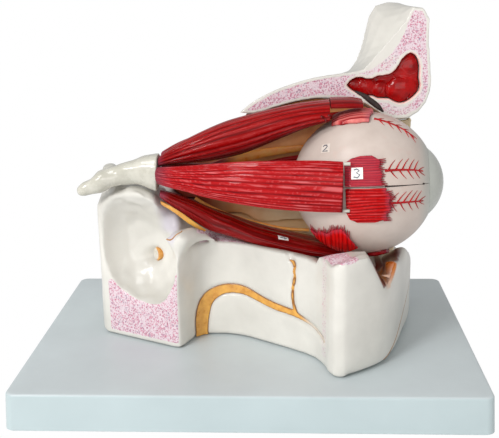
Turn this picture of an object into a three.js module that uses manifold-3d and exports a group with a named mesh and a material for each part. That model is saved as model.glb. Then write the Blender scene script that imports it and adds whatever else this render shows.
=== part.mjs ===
// An enlarged classroom model of the human eye in its bony orbit, cut open on the outer side.
// Millimetres. X runs forward, the way the eye looks, Y towards the nose, Z up.
// The origin is on the table, under the middle of the base.

import * as THREE from "three";
import { mergeVertices } from "three/addons/utils/BufferGeometryUtils.js";
import Module from "manifold-3d";

const wasm = await Module();
wasm.setup();

// Driving dimensions

const gap = 0.3; // between pieces that touch
const slack = 0.4; // round pieces that slide out

const baseLength = 260;
const baseWidth = 180;
const baseHeight = 21;
const baseWall = 2.5;
const baseTopWall = 3;
const baseFlare = 1; // each side is this much wider at the bottom
const baseEdge = 1.5; // rounding of the top edge
const baseCorner = 5;
const footRadius = 7;
const footThickness = 2.7;
const footProud = 1;
const footInset = 17;

const screwRadius = 2;
const screwHeadRadius = 4;
const screwHeadHeight = 2.5;
const screwBite = 10; // length inside the bone

const eyeX = 66;
const eyeY = -10;
const eyeZ = 117.8;
const eyeRadius = 41;
const scleraWall = 3;
const choroidWall = 2.2;
const frontOpening = 19.6; // radius that the cornea sits in
const corneaRadius = 24.5;
const corneaWall = 1.5;
const corneaRim = 2.7; // depth of the rim that plugs in
const irisThickness = 1.4;
const pupilRadius = 5.5;
const lensRadius = 15;
const lensFront = 5; // bulge to the front
const lensBack = 7.5;
const stubThickness = 2;
const obliqueStubDepth = 28.2; // how far the inferior oblique stub reaches round the eyeball
const seamTilt = 10; // degrees, outer side up
const gazeTurn = 5; // degrees, towards the outer side
const gazeRise = 2.5; // degrees, up
const pullSlope = 0.2255; // how far the eyeball moves outwards for each step forward
const pathClearance = 1; // between the eyeball's path and the bones
const pegRadius = 2.5;
const pegDrop = 7; // peg below the seam
const pegDepth = 2.4; // in the white coat

const nerveRadius = 5.5;
const apexX = -52.5; // where the muscles start, at the end of the white stalk
const apexY = -14;
const apexZ = 124;

const muscleEndX = 45.6; // front end of the superior rectus
const lateralEndX = 51.5; // front end of the lateral rectus
const pinRadius = 1;
const pinLength = 3.4;
const pinPlay = 0.1; // round the pins, where they pass the white coat

const roofCutY = 20; // the frontal bone is sawn here
const backY = 50; // and ends here, near the middle of the skull
const sinusDepth = 11;
const sinusLiningSink = 2.2; // lining below the sawn face
const innerWallSpace = 6; // from the eyeball to the inner wall
const wallFrontY = eyeY + eyeRadius + innerWallSpace; // front of the inner wall
const grooveDepth = 2.4; // nerve groove in the jaw
const nerveSink = 0.7; // nerve below the bone's surface
const pocketTop = 62; // hollow under the bone block

const far = 100; // beyond every piece of the eyeball
const up = new THREE.Vector3(0, 0, 1);
const standTop = footProud + baseHeight;

// Colours and finishes

const finish = (color, roughness) => new THREE.MeshStandardMaterial({ color, roughness, metalness: 0 });
const boardGrey = finish(0xccd7db, 0.45);
const rubberGrey = finish(0x4a4c4e, 0.8);
const steel = new THREE.MeshStandardMaterial({ color: 0xb8babd, roughness: 0.35, metalness: 1 });
const boneWhite = finish(0xe6e3dd, 0.3);
const sinusRed = finish(0x9c1414, 0.25);
const muscleRed = finish(0xb0141c, 0.3);
const muscleDark = finish(0x7e0f14, 0.35);
const nerveYellow = finish(0xe9a63a, 0.35);
const sheathWhite = finish(0xdde0d8, 0.3);
const wallTan = finish(0xcfa88a, 0.45);
const eyeWhite = finish(0xe4d3c8, 0.4);
const coatBrown = finish(0x8a3c22, 0.4);
const corneaClear = finish(0xc4cbc9, 0.1);
const gelClear = finish(0xdfe6e8, 0.1);
const irisBlue = finish(0x4a6d8c, 0.4);

// Shape helpers

function solidOf(geometry) {
  const bare = geometry.index ? geometry.toNonIndexed() : geometry.clone();
  bare.deleteAttribute("normal");
  bare.deleteAttribute("uv");
  const merged = mergeVertices(bare, 1e-4);
  return new wasm.Manifold(
    new wasm.Mesh({
      numProp: 3,
      vertProperties: new Float32Array(merged.attributes.position.array),
      triVerts: new Uint32Array(merged.index.array),
    }),
  );
}

function geometryOf(solid) {
  const mesh = solid.getMesh();
  const geometry = new THREE.BufferGeometry();
  geometry.setAttribute("position", new THREE.BufferAttribute(new Float32Array(mesh.vertProperties), 3));
  geometry.setIndex(new THREE.BufferAttribute(new Uint32Array(mesh.triVerts), 1));
  return geometry;
}

const largestOf = (solid) => solid.decompose().sort((a, b) => b.volume() - a.volume())[0];

// A skin over rings of equally many points, closed by a fan at both ends.
function loft(rings) {
  const count = rings[0].length;
  const middle = (ring) =>
    ring.reduce((sum, p) => sum.add(p), new THREE.Vector3()).divideScalar(count);
  const points = [...rings.flat(), middle(rings[0]), middle(rings.at(-1))];
  const first = rings.length * count;
  const last = (rings.length - 1) * count;
  const faces = [];
  for (let i = 0; i < count; i++) {
    const j = (i + 1) % count;
    faces.push(first, j, i, first + 1, last + i, last + j);
    for (let row = 0; row < last; row += count) {
      faces.push(row + i, row + j, row + count + j, row + i, row + count + j, row + count + i);
    }
  }
  const geometry = new THREE.BufferGeometry().setFromPoints(points);
  geometry.setIndex(faces);
  const solid = solidOf(geometry);
  if (solid.volume() > 0) return solid;
  for (let i = 0; i < faces.length; i += 3) [faces[i], faces[i + 1]] = [faces[i + 1], faces[i]];
  geometry.setIndex(faces);
  return solidOf(geometry);
}

// A flat outline, a list of [x, y], pulled up from one height to another.
function prism(outline, bottom, top) {
  const shape = new THREE.Shape(outline.map(([x, y]) => new THREE.Vector2(x, y)));
  const geometry = new THREE.ExtrudeGeometry(shape, { depth: top - bottom, bevelEnabled: false });
  return solidOf(geometry.translate(0, 0, bottom));
}

// An outline of [x, z] pulled along Y.
function plate(outline, front, back) {
  return prism(outline, -back, -front).rotate([90, 0, 0]);
}

function box(from, to) {
  const size = to.map((value, i) => value - from[i]);
  const geometry = new THREE.BoxGeometry(...size);
  return solidOf(geometry.translate(...from.map((value, i) => value + size[i] / 2)));
}

function rod(start, end, radius, sides = 16) {
  const along = end.clone().sub(start);
  const geometry = new THREE.CylinderGeometry(radius, radius, along.length(), sides);
  const turn = new THREE.Quaternion().setFromUnitVectors(new THREE.Vector3(0, 1, 0), along.clone().normalize());
  geometry.applyQuaternion(turn);
  return solidOf(geometry.translate(...start.clone().add(end).divideScalar(2).toArray()));
}

// A profile of [radius, forward] turned about the X axis.
function turned(profile, sides) {
  const points = profile.map(([radius, forward]) => new THREE.Vector2(radius, forward));
  const solid = solidOf(new THREE.LatheGeometry(points, sides).rotateZ(-Math.PI / 2));
  if (solid.volume() > 0) return solid;
  return solidOf(new THREE.LatheGeometry(points.reverse(), sides).rotateZ(-Math.PI / 2));
}

// Points [radius, forward] on a circle about the axis point "middle", from one angle to another.
function arc(middle, radius, fromDegrees, toDegrees, steps) {
  return Array.from({ length: steps + 1 }, (_, i) => {
    const angle = THREE.MathUtils.degToRad(fromDegrees + ((toDegrees - fromDegrees) * i) / steps);
    return [Math.max(0, radius * Math.sin(angle)), middle + radius * Math.cos(angle)];
  });
}

function smooth(points, steps, closed = false) {
  const curve = new THREE.CatmullRomCurve3(points.map(([x, y, z = 0]) => new THREE.Vector3(x, y, z)), closed);
  const all = curve.getSpacedPoints(steps);
  return closed ? all.slice(0, -1) : all;
}

const smoothOutline = (points, steps, closed = false) => smooth(points, steps, closed).map((p) => [p.x, p.y]);

function roundedRectangle(length, width, corner, steps = 3) {
  const outline = [];
  [[1, 1, 0], [-1, 1, 90], [-1, -1, 180], [1, -1, 270]].forEach(([sideX, sideY, start]) => {
    for (let i = 0; i <= steps; i++) {
      const angle = THREE.MathUtils.degToRad(start + (90 * i) / steps);
      const x = sideX * (length / 2 - corner) + corner * Math.cos(angle);
      outline.push([x, sideY * (width / 2 - corner) + corner * Math.sin(angle)]);
    }
  });
  return outline;
}

const lifted = (outline, z) => outline.map(([x, y]) => new THREE.Vector3(x, y, z));

// A closed outline moved outwards by "distance".
function grown(outline, distance) {
  const turn = THREE.ShapeUtils.isClockWise(outline.map(([x, y]) => new THREE.Vector2(x, y))) ? -1 : 1;
  return outline.map(([x, y], i) => {
    const before = outline.at(i - 1);
    const after = outline[(i + 1) % outline.length];
    const run = new THREE.Vector2(after[0] - before[0], after[1] - before[1]).normalize();
    return [x + turn * run.y * distance, y - turn * run.x * distance];
  });
}

// A band of changing width along a line of [x, y, half width].
function band(line, steps, extra = 0) {
  const middle = smooth(line, steps);
  const side = (sign) =>
    middle.map((p, i) => {
      const run = middle[Math.min(i + 1, steps)].clone().sub(middle[Math.max(i - 1, 0)]);
      run.z = 0;
      run.normalize();
      const reach = sign * (p.z + extra);
      return [p.x - run.y * reach, p.y + run.x * reach];
    });
  return [...side(-1), ...side(1).reverse()];
}

const root = new THREE.Group();

function addMesh(name, solid, material, parent = root) {
  const mesh = new THREE.Mesh(geometryOf(solid), material);
  mesh.name = name;
  parent.add(mesh);
}

// The way the eyeball looks, square to its seam, and the way it comes out

const radians = THREE.MathUtils.degToRad;
const gaze = new THREE.Vector3(
  Math.cos(radians(gazeRise)) * Math.cos(radians(gazeTurn)),
  -Math.cos(radians(gazeRise)) * Math.sin(radians(gazeTurn)),
  Math.sin(radians(gazeRise)),
);
const liftWay = new THREE.Vector3(0, Math.sin(radians(seamTilt)), Math.cos(radians(seamTilt)));
liftWay.addScaledVector(gaze, -liftWay.dot(gaze)).normalize();
const noseWay = new THREE.Vector3().crossVectors(liftWay, gaze);
const pullWay = new THREE.Vector3(1, -pullSlope, 0).normalize();

// Base: a tray open below, with feet under its corner posts

const screwPlaces = [[-71, 4], [-38, 30], [34, -17], [84, 22]];
const signs = [[-1, -1], [1, -1], [1, 1], [-1, 1]];
const footPlaces = signs.map(([sx, sy]) => [sx * (baseLength / 2 - footInset), sy * (baseWidth / 2 - footInset)]);

function makeBase() {
  const outer = loft([
    lifted(roundedRectangle(baseLength + 2 * baseFlare, baseWidth + 2 * baseFlare, baseCorner), footProud),
    lifted(roundedRectangle(baseLength, baseWidth, baseCorner), standTop - baseEdge),
    lifted(roundedRectangle(baseLength - baseEdge, baseWidth - baseEdge, baseCorner), standTop - 0.3 * baseEdge),
    lifted(roundedRectangle(baseLength - 2 * baseEdge, baseWidth - 2 * baseEdge, baseCorner), standTop),
  ]);
  const insideLength = baseLength - 2 * baseWall;
  const insideWidth = baseWidth - 2 * baseWall;
  let tray = outer.subtract(
    prism(roundedRectangle(insideLength, insideWidth, baseCorner - 1), 0, standTop - baseTopWall),
  );
  for (const [x, y] of footPlaces) {
    const bottom = footThickness + gap;
    tray = tray.add(
      rod(new THREE.Vector3(x, y, bottom), new THREE.Vector3(x, y, standTop - 1), footRadius + 1),
    );
  }
  for (const [x, y] of screwPlaces) {
    tray = tray.subtract(
      rod(new THREE.Vector3(x, y, 0), new THREE.Vector3(x, y, standTop + 1), screwRadius + gap),
    );
  }
  addMesh("base_tray", tray, boardGrey);
  footPlaces.forEach(([x, y], i) => {
    const foot = rod(new THREE.Vector3(x, y, 0), new THREE.Vector3(x, y, footThickness), footRadius, 24);
    addMesh(`rubber_foot_${i + 1}`, foot, rubberGrey);
  });
}

function makeScrews() {
  const underPlate = standTop - baseTopWall - gap;
  screwPlaces.forEach(([x, y], i) => {
    const at = (z) => new THREE.Vector3(x, y, z);
    const head = rod(at(underPlate - screwHeadHeight), at(underPlate), screwHeadRadius);
    const shank = rod(at(underPlate - 0.5), at(standTop + gap + screwBite), screwRadius);
    addMesh(`bone_screw_${i + 1}`, head.add(shank), steel);
  });
}

// Bone block: outline on the base, with the hollowed outer wall as a smooth scoop

const sawnFaceStart = [-90.5, -9];
const sawnFaceEnd = [-45.5, -31.4];
const scoopLine = [
  [-42, -32.4], [-38.2, -26], [-34.8, -17], [-29, -12.2], [-21, -11], [-12, -12], [-4, -15], [12, -25.6],
  [27, -36], [37, -45], [41.8, -55], [44.5, -65], [49.3, -70.4], [57, -67.4], [66, -61], [75, -53],
  [83.5, -36.5], [92, -9], [98.5, 14], [100, 36], [97, 47],
];
const blockOutline = [
  [-93.3, -4.5],
  sawnFaceStart,
  sawnFaceEnd,
  ...smoothOutline(scoopLine, 44),
  [91, backY + 2],
  [-86, backY + 2],
  [-92, 46],
];

// Heights of the bone's top surface at chosen places: [x, y, height above the table].
const blockHeights = [
  [-93, -8, 105], [-93, 20, 110], [-92, 48, 104], [-80, -14, 114], [-76, 4, 118.5], [-78, 46, 108],
  [-66, -15, 118], [-58, -15, 118], [-60, 0, 118.5], [-60, 46, 104], [-52, -28, 107], [-50, -10, 108], [-46, -30, 103],
  [-43, -32, 102], [-44, -15, 99], [-37.5, -26, 72], [-35, -18, 72], [-36, -7, 87], [-40, 12, 96], [-40, 46, 96],
  [-28, -12, 81.5], [-20, -10, 82.2], [-24, 0, 86.5], [-11, -12, 82.6], [-10, 2, 81], [-20, 26, 86],
  [-18, 48, 86], [-3, -15, 82.8], [5, -3, 77], [9, -23, 82.3], [20, -6, 73.5], [10, 24, 80], [19, -31, 82.2],
  [29, -37.5, 82], [37, -46, 81.5], [38, -14, 70.5], [41.5, -57, 82], [50, -44, 74], [44.5, -64, 84.5],
  [49, -71, 90.3], [58, -66, 91], [66, -60, 91], [75, -52, 90], [40, 22, 76], [60, -20, 69], [60, 12, 69],
  [30, 48, 82], [62, 48, 74], [80, -40, 84], [84, -30, 84], [90, -14, 80], [74, -18, 66], [78, 8, 68],
  [94, 4, 74], [98, 16, 66], [99, 36, 57], [84, 48, 62],
];
const heightSpread = 6;

function heightAt(x, y) {
  let total = 0;
  let weight = 0;
  for (const [px, py, height] of blockHeights) {
    const near = Math.exp(-((x - px) ** 2 + (y - py) ** 2) / (2 * heightSpread ** 2)) + 1e-9;
    total += near * height;
    weight += near;
  }
  return total / weight;
}

function reliefSolid(stepX, stepY) {
  const [west, east, south, north] = [-98, 104, -76, backY + 8];
  const columns = Math.round((east - west) / stepX);
  const rows = Math.round((north - south) / stepY);
  const points = [];
  for (const level of ["top", "bottom"]) {
    for (let j = 0; j <= rows; j++) {
      for (let i = 0; i <= columns; i++) {
        const x = west + ((east - west) * i) / columns;
        const y = south + ((north - south) * j) / rows;
        points.push(new THREE.Vector3(x, y, level === "top" ? heightAt(x, y) : 0));
      }
    }
  }
  const at = (i, j, low = 0) => low * (columns + 1) * (rows + 1) + j * (columns + 1) + i;
  const faces = [];
  const quad = (a, b, c, d) => faces.push(a, b, c, a, c, d);
  for (let j = 0; j < rows; j++) {
    for (let i = 0; i < columns; i++) {
      quad(at(i, j), at(i + 1, j), at(i + 1, j + 1), at(i, j + 1));
      quad(at(i, j, 1), at(i, j + 1, 1), at(i + 1, j + 1, 1), at(i + 1, j, 1));
    }
  }
  for (let i = 0; i < columns; i++) {
    quad(at(i, 0, 1), at(i + 1, 0, 1), at(i + 1, 0), at(i, 0));
    quad(at(i + 1, rows, 1), at(i, rows, 1), at(i, rows), at(i + 1, rows));
  }
  for (let j = 0; j < rows; j++) {
    quad(at(0, j + 1, 1), at(0, j, 1), at(0, j), at(0, j + 1));
    quad(at(columns, j, 1), at(columns, j + 1, 1), at(columns, j + 1), at(columns, j));
  }
  const geometry = new THREE.BufferGeometry().setFromPoints(points);
  geometry.setIndex(faces);
  return solidOf(geometry);
}

// The smooth bowl in the sawn face: [along the face, height] at its mouth, and how deep it goes.
// Its lower part is round, its upper part slopes out to the top.
const bowlMouth = [
  [-5.5, 84], [-3.6, 69], [0.3, 60], [8, 53], [17, 49.6], [28, 48], [36, 49.8], [42, 57.5], [46, 68],
  [47.5, 75], [43.5, 82.5], [39.5, 87.5], [38, 95], [38.5, 104], [34, 110.5], [20, 111.5], [4, 109], [-4, 100],
];
const bowlDepth = 22;
const bowlCentre = [23, 84];

const faceAlong = new THREE.Vector3(sawnFaceEnd[0] - sawnFaceStart[0], sawnFaceEnd[1] - sawnFaceStart[1], 0);
faceAlong.normalize();
const faceInward = new THREE.Vector3(-faceAlong.y, faceAlong.x, 0);

function onSawnFace(along, height, depth) {
  const start = new THREE.Vector3(-85, -11.5, height);
  return start.addScaledVector(faceAlong, along).addScaledVector(faceInward, depth);
}

function bowlCutter() {
  const mouth = smoothOutline(bowlMouth, 28, true);
  const rings = [-8, 0, 2, 6, 12, 17, 20, 21.7].map((depth) => {
    const sunk = Math.max(0, depth) / bowlDepth;
    const share = Math.sqrt(1 - sunk ** 2);
    const slopingShare = (1 - sunk) ** 0.6;
    return mouth.map(([along, height]) =>
      onSawnFace(
        bowlCentre[0] + (along - bowlCentre[0]) * share,
        bowlCentre[1] + (height - bowlCentre[1]) * (height > bowlCentre[1] ? slopingShare : share),
        depth,
      ),
    );
  });
  return loft(rings);
}

// The tear-sac notch in the rim, a V seen from the outer side: [x, z] in front and further in.
const notchFront = [[62.5, 97], [76.3, 69.2], [78, 68.4], [92, 80], [112, 99]];
const notchInside = [[62.5, 97], [73, 64], [75, 63.5], [77, 80], [79, 99]];
const notchFrontY = -62;
const notchInsideY = -10;
const fissureX = -46.6;
const fissureZ = 94.6;
const fissureRadius = 4.7;

// The round hole on the inner side of the bowl, and the direction it runs.
const holeMouth = new THREE.Vector3(-67, -7, 71);
const holeEnd = new THREE.Vector3(-52.5, 4.2, 71);
const holeRadius = 4.4;

// The nerve of the upper jaw on the scoop: [x, z, half width], and its thin branch from the orbit's floor.
const archLine = [
  [-30.6, 18, 3.4], [-30.4, 34, 4], [-27, 45.5, 4], [-19, 51.2, 3.2], [-10, 52.8, 3], [-3, 52, 2.7], [5, 49.3, 2.3],
  [15, 46.8, 2.2], [24, 45.8, 1.9], [31, 43.8, 1.1], [37, 41.3, 0.9], [42.8, 37, 0.8],
];
const branchLine = [
  [22, 84, 2], [23.2, 79.6, 1.6], [25.6, 76, 1], [26.1, 71, 0.9], [25.2, 63.7, 0.9], [24.6, 56, 0.9],
  [25.3, 50.5, 0.9], [26.6, 46, 0.9],
];
const archReach = -4; // the bands are cut from the front as far back as this

function jawBands(extra) {
  const front = -85;
  return plate(band(archLine, 36, extra), front, archReach).add(plate(band(branchLine, 14, extra), front, archReach));
}

// The room in the bones that the eyeball needs to come out along its path.
function eyePath() {
  const reach = eyeRadius + stubThickness + pathClearance;
  const start = new THREE.Vector3(eyeX, eyeY, eyeZ);
  const ball = solidOf(new THREE.SphereGeometry(reach, 32, 16).translate(eyeX, eyeY, eyeZ));
  return ball.add(rod(start, start.clone().addScaledVector(pullWay, 2 * eyeRadius), reach, 32));
}

function notchCutter() {
  const wall = (outline, y) => outline.map(([x, z]) => new THREE.Vector3(x, y, z));
  return loft([wall(notchFront, notchFrontY), wall(notchInside, notchInsideY)]);
}

function makeBoneBlock() {
  let block = reliefSolid(6, 6).intersect(prism(blockOutline, standTop + gap, 140));
  block = block.subtract(eyePath());
  block = block.subtract(bowlCutter());
  block = block.subtract(notchCutter());
  const fissureTop = [[fissureX - fissureRadius, 125], [fissureX + fissureRadius, 125]];
  const fissure = [...fissureTop, ...arcOutline(fissureX, fissureZ, fissureRadius, 0, -180, 10)];
  block = block.subtract(plate(fissure, -60, -8));
  block = block.subtract(rod(holeMouth, holeEnd, holeRadius));
  const skin = prism(grown(blockOutline, 3), 0, 140).subtract(prism(grown(blockOutline, -grooveDepth), -1, 141));
  block = block.subtract(jawBands(gap).intersect(skin));
  block = block.subtract(box([-28, 0, 0], [70, 40, pocketTop]));
  block = block.subtract(box([-85, 16, 0], [-48, 40, pocketTop + 20]));
  for (const [x, y] of screwPlaces) {
    const at = (z) => new THREE.Vector3(x, y, z);
    block = block.subtract(rod(at(standTop), at(standTop + gap + screwBite + 1), screwRadius + gap));
  }
  return block;
}

function arcOutline(x, z, radius, fromDegrees, toDegrees, steps) {
  return Array.from({ length: steps + 1 }, (_, i) => {
    const angle = THREE.MathUtils.degToRad(fromDegrees + ((toDegrees - fromDegrees) * i) / steps);
    return [x + radius * Math.cos(angle), z + radius * Math.sin(angle)];
  });
}

function makeJawNerves() {
  const nerveSkin = prism(grown(blockOutline, -nerveSink), standTop + gap, 78).subtract(
    prism(grown(blockOutline, -(grooveDepth - gap)), 0, 141),
  );
  const nerve = jawBands(0).intersect(nerveSkin);
  addMesh("upper_jaw_nerve", largestOf(nerve), nerveYellow);
  const inward = holeEnd.clone().sub(holeMouth).normalize();
  const plugStart = holeMouth.clone().addScaledVector(inward, 10.5);
  const plug = rod(plugStart, holeEnd.clone().addScaledVector(inward, -gap), holeRadius - gap);
  addMesh("round_hole_nerve", plug, nerveYellow);
}

// Frontal bone: [x, z] where it is sawn, and [x, z] near the middle of the skull.
const roofProfile = [
  [-7, 154.5, -8, 150], [2, 154, 1, 149.5], [12, 157, 12, 153], [32, 162, 32, 158], [47, 163, 47, 159],
  [58, 162, 58, 157.5], [68.5, 159.5, 68, 154], [76, 154.8, 76, 149.5], [80.5, 151.3, 80, 146],
  [88, 149.8, 88, 144], [96, 151, 97, 144.5], [103.5, 157.5, 104, 153], [107.3, 167.5, 106, 165],
  [106.6, 182, 104, 181], [105, 197.5, 101, 197], [104.8, 209, 100, 208], [102.3, 213.8, 97.5, 213.5],
  [97, 216.5, 87, 217.3], [93.6, 213.5, 76, 215.5], [90.5, 201.2, 71.3, 207], [86.4, 193.6, 70, 198],
  [80.7, 187.9, 67.3, 187.5], [73.8, 182.7, 64, 179.5], [65.6, 179.3, 60, 175.5], [50.8, 177.1, 50, 172.5],
  [39.2, 175.5, 39, 170], [24, 171.4, 24, 166.5], [12.6, 167.2, 12, 162], [2, 161.5, 1, 157],
];
const roofSteps = 4;

function frontalBody() {
  const front = smoothOutline(roofProfile.map(([x, z]) => [x, z]), 44, true);
  const back = smoothOutline(roofProfile.map((p) => [p[2], p[3]]), 44, true);
  const rings = Array.from({ length: roofSteps + 1 }, (_, i) => {
    const share = i / roofSteps;
    const bend = Math.sin((share * Math.PI) / 2);
    return front.map(([x, z], k) => {
      const y = roofCutY + (backY - roofCutY) * share;
      return new THREE.Vector3(x + (back[k][0] - x) * bend, y, z + (back[k][1] - z) * share);
    });
  });
  return loft(rings);
}

const sinusOutline = [
  [57.2, 170.4], [62, 174.6], [67, 175], [70.8, 173.4], [75, 175.6], [82.5, 176.4], [87, 180.5], [90, 186],
  [94.5, 189.2], [98.2, 187], [100.2, 181], [100, 174.5], [101, 168], [97, 163], [90.5, 159.2], [85, 160.6],
  [81.5, 162.6], [77.5, 161.8], [73, 163.8], [67, 163.8], [61.8, 166.6],
];
// Swellings of the lining: [x, z, radius].
const sinusLobes = [[64, 169.5, 5.4], [74.5, 169, 5.2], [88, 167, 8], [96, 170, 5.5], [95, 181, 5]];

function makeFrontalBone() {
  const outline = smoothOutline(sinusOutline, 34, true);
  const bone = frontalBody()
    .subtract(plate(outline, roofCutY - 1, roofCutY + sinusDepth))
    .subtract(eyePath());
  addMesh("frontal_bone", bone, boneWhite);
  const inside = plate(grown(outline, -gap), roofCutY + sinusLiningSink, roofCutY + sinusDepth - gap);
  let lining = inside.intersect(box([40, roofCutY + 6, 140], [110, backY, 200]));
  for (const [x, z, radius] of sinusLobes) {
    const lobe = solidOf(new THREE.SphereGeometry(radius, 12, 8).translate(x, roofCutY + 6.5, z));
    lining = lining.add(lobe.intersect(inside));
  }
  addMesh("frontal_sinus_lining", lining, sinusRed);
}

// Inner wall of the orbit: [x, z], trimmed by the bones above and below it.
const innerWallOutline = [
  [-50, 70], [-53, 104], [-47, 114], [-32, 127], [-14, 140], [-5, 148], [0, 170], [90, 170], [99, 146],
  [98, 128], [93, 110], [93, 90], [90, 50], [-44, 50],
];

function makeInnerWall(block) {
  const outline = smoothOutline(innerWallOutline.slice(0, 6), 16).concat(
    innerWallOutline.slice(6, 8),
    smoothOutline(innerWallOutline.slice(8, 12), 12),
    innerWallOutline.slice(12),
  );
  const wall = plate(outline, wallFrontY, backY - 0.5)
    .subtract(frontalBody().translate([0, 0, -gap]))
    .subtract(frontalBody())
    .subtract(frontalBody().translate([0, 0, 6]))
    .subtract(box([-120, 0, 160], [120, 80, 220]))
    .subtract(eyePath())
    .subtract(block.translate([0, 0, gap]))
    .subtract(box([-120, 0, 0], [120, 80, 60]));
  addMesh("inner_wall", largestOf(wall), wallTan);
}

// Muscles and nerves: a closed skin over stations [x, y, z, half width, half thickness, droop of the edges].
// "face" points out of the broad side of the strap.
function strap(stations, face, steps, sides = 14) {
  const curve = new THREE.CatmullRomCurve3(stations.map(([x, y, z]) => new THREE.Vector3(x, y, z)));
  const sizes = new THREE.CatmullRomCurve3(
    stations.map((s) => new THREE.Vector3(s[3], s[4], s[5] ?? 0)),
  );
  const rings = Array.from({ length: steps + 1 }, (_, i) => {
    const share = i / steps;
    const centre = curve.getPoint(share);
    const along = curve.getTangent(share);
    const across = new THREE.Vector3().crossVectors(along, face).normalize();
    const out = new THREE.Vector3().crossVectors(across, along).normalize();
    const { x: wide, y: thick, z: droop } = sizes.getPoint(share);
    return Array.from({ length: sides }, (_, k) => {
      const angle = (2 * Math.PI * k) / sides;
      const c = Math.cos(angle);
      const s = Math.sin(angle);
      const squareC = Math.sign(c) * Math.abs(c) ** 0.8;
      const squareS = Math.sign(s) * Math.abs(s) ** 0.8;
      return centre
        .clone()
        .addScaledVector(across, wide * squareC)
        .addScaledVector(out, thick * squareS - droop * c * c);
    });
  });
  return loft(rings);
}

const cutAt = (solid, x) => solid.subtract(box([x, -far, 0], [x + 30, far, 220]));

// A strap that starts at the flat end of the white stalk.
function apexStrap(...shape) {
  return strap(...shape).subtract(box([-200, -100, 0], [apexX + gap, 100, 200]));
}

const outward = new THREE.Vector3(0, -1, 0);
const inward = new THREE.Vector3(0, 1, 0);
const down = new THREE.Vector3(0, 0, -1);

// A muscle's front part follows the eyeball: the way from the eyeball's middle, and the distance off its surface.
function besideEye(way, distance) {
  const place = new THREE.Vector3(...way).setLength(eyeRadius + distance);
  return [eyeX + place.x, eyeY + place.y, eyeZ + place.z];
}

const lateralLine = [
  [apexX - 1, apexY - 8, 125.5, 4.6, 3], [-44.6, -28, 125.8, 5.9, 3.8], [-32.8, -35, 126.4, 7.5, 4.4],
  [-21.7, -40, 126.4, 9.4, 4.6], [-3.9, -46, 126.6, 11.8, 4.4],
  [...besideEye([-49.3, -40.5, 8.6], 23.4), 13.3, 4],
  [...besideEye([-29.1, -42.3, 8], 11), 14.1, 3.4, 1.5],
  [...besideEye([-13.5, -42.6, 7.1], 4.2), 14, 3, 3],
];
const lateralPinPlaces = [1, -1].map((side) => {
  const [, endY, endZ, endWide, , endDroop] = lateralLine.at(-1);
  return new THREE.Vector3(lateralEndX + gap, endY + endDroop * 0.9, endZ + side * endWide * 0.92);
});
const superiorLine = [
  [apexX - 1, apexY - 1, 131.8, 5, 2.2], [-46.5, -15, 134.2, 7, 4], [-35.3, -14.4, 137.8, 9.5, 6.6],
  [-24.2, -13.4, 140.9, 11.5, 8.6], [-13.2, -12.4, 144.1, 13, 9.8], [-2.1, -11.4, 147.4, 14, 9.8, 0.5],
  [...besideEye([-49.7, -0.4, 35.6], 20.1), 15, 8.2, 1.2],
  [...besideEye([-35.2, 0, 40], 12.3), 15.5, 6.6, 2],
  [...besideEye([-19.4, 0, 43.4], 6.5), 15.5, 4.8, 3],
];
const lidLifterLine = [
  [...besideEye([-21.4, 0.5, 47], 10.7), 12, 2.3, 1.2],
  [...besideEye([-14, 0.5, 47.2], 8.2), 12, 2.3, 1.4],
  [...besideEye([-7.5, 0.7, 47.1], 6.7), 11.5, 2.2, 1.4],
  [...besideEye([-2, 1, 46.6], 5.6), 10.5, 1.6, 1.2],
];
const inferiorLine = [
  [apexX - 1, apexY, 112.9, 4, 2], [-40.6, -12, 106, 7, 4.4], [-25.4, -7, 95.8, 9.5, 6.2],
  [-14.3, -5, 91.4, 11, 5.8], [-3, -4, 87.1, 12, 5.2], [8.3, -4, 83.6, 13, 4.9],
  [...besideEye([-42.7, 6, -37.8], 16.3), 14, 4.5],
  [...besideEye([-28, 5, -40.4], 8.4), 14, 3.8],
  [...besideEye([-16, 4, -42.1], 4.2), 13, 2.6],
  [...besideEye([-6, 3, -43.8], 3.3), 12, 1.9],
];
const medialLine = [
  [apexX - 1, apexY + 8.5, 123.5, 4.5, 2.5], [-40, 1, 123.5, 7, 3.8], [-22, 13, 123, 9.5, 4.8],
  [0, 23.5, 122, 11, 4.4],
  [...besideEye([-44, 39, 3.2], 17.9), 12, 3.6],
  [...besideEye([-26, 41.2, 2.2], 7.8), 12, 3],
  [...besideEye([-18, 41.7, 1.7], 4.6), 12, 2.5],
];
const obliqueLine = [
  [apexX - 1, apexY + 9, 133, 2.6, 2.2], [-38, 3, 138, 4.4, 3.4], [-14, 17, 143, 5.5, 4], [14, 26, 146, 5, 3.6],
  [38, 29.5, 149, 3.6, 2.6], [56, 30, 151.6, 2, 1.6], [67, 29, 153.4, 1.6, 1.6],
];
const wallNerveLine = [
  [apexX + 4, apexY + 18, 117, 1.5, 1], [-30, 22, 119.5, 2.2, 1.2], [-8, 30, 124, 3.2, 1.3],
  [8, wallFrontY - 2.4, 126.6, 3, 1], [24, wallFrontY - 1.8, 128.6, 2.4, 1], [40, wallFrontY - 1.7, 130.5, 1.6, 1],
];
const floorNerveLine = [
  [apexX - 1, apexY - 5, 109.6, 1.4, 1.2], [-43.4, -17.5, 103.4, 2.2, 2], [-34.4, -15.5, 95.6, 2.4, 2.2],
  [-26.6, -12, 89.4, 1.6, 1.4],
];
const stalkLine = [
  [-100, -17, 115.8, 1.4, 1.4], [-97.5, -17, 116, 3.4, 3.4], [-92.5, -16, 117.5, 4.8, 4.8], [-85, -15, 121.2, 5.6, 5.6],
  [-76.8, -14, 123.8, 5.8, 5.8], [-68.5, -14, 125.6, 6.8, 6.8], [-60, -14, 126.3, 8.8, 9.4], [apexX, apexY, 125.4, 10.5, 11.4],
];
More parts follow.
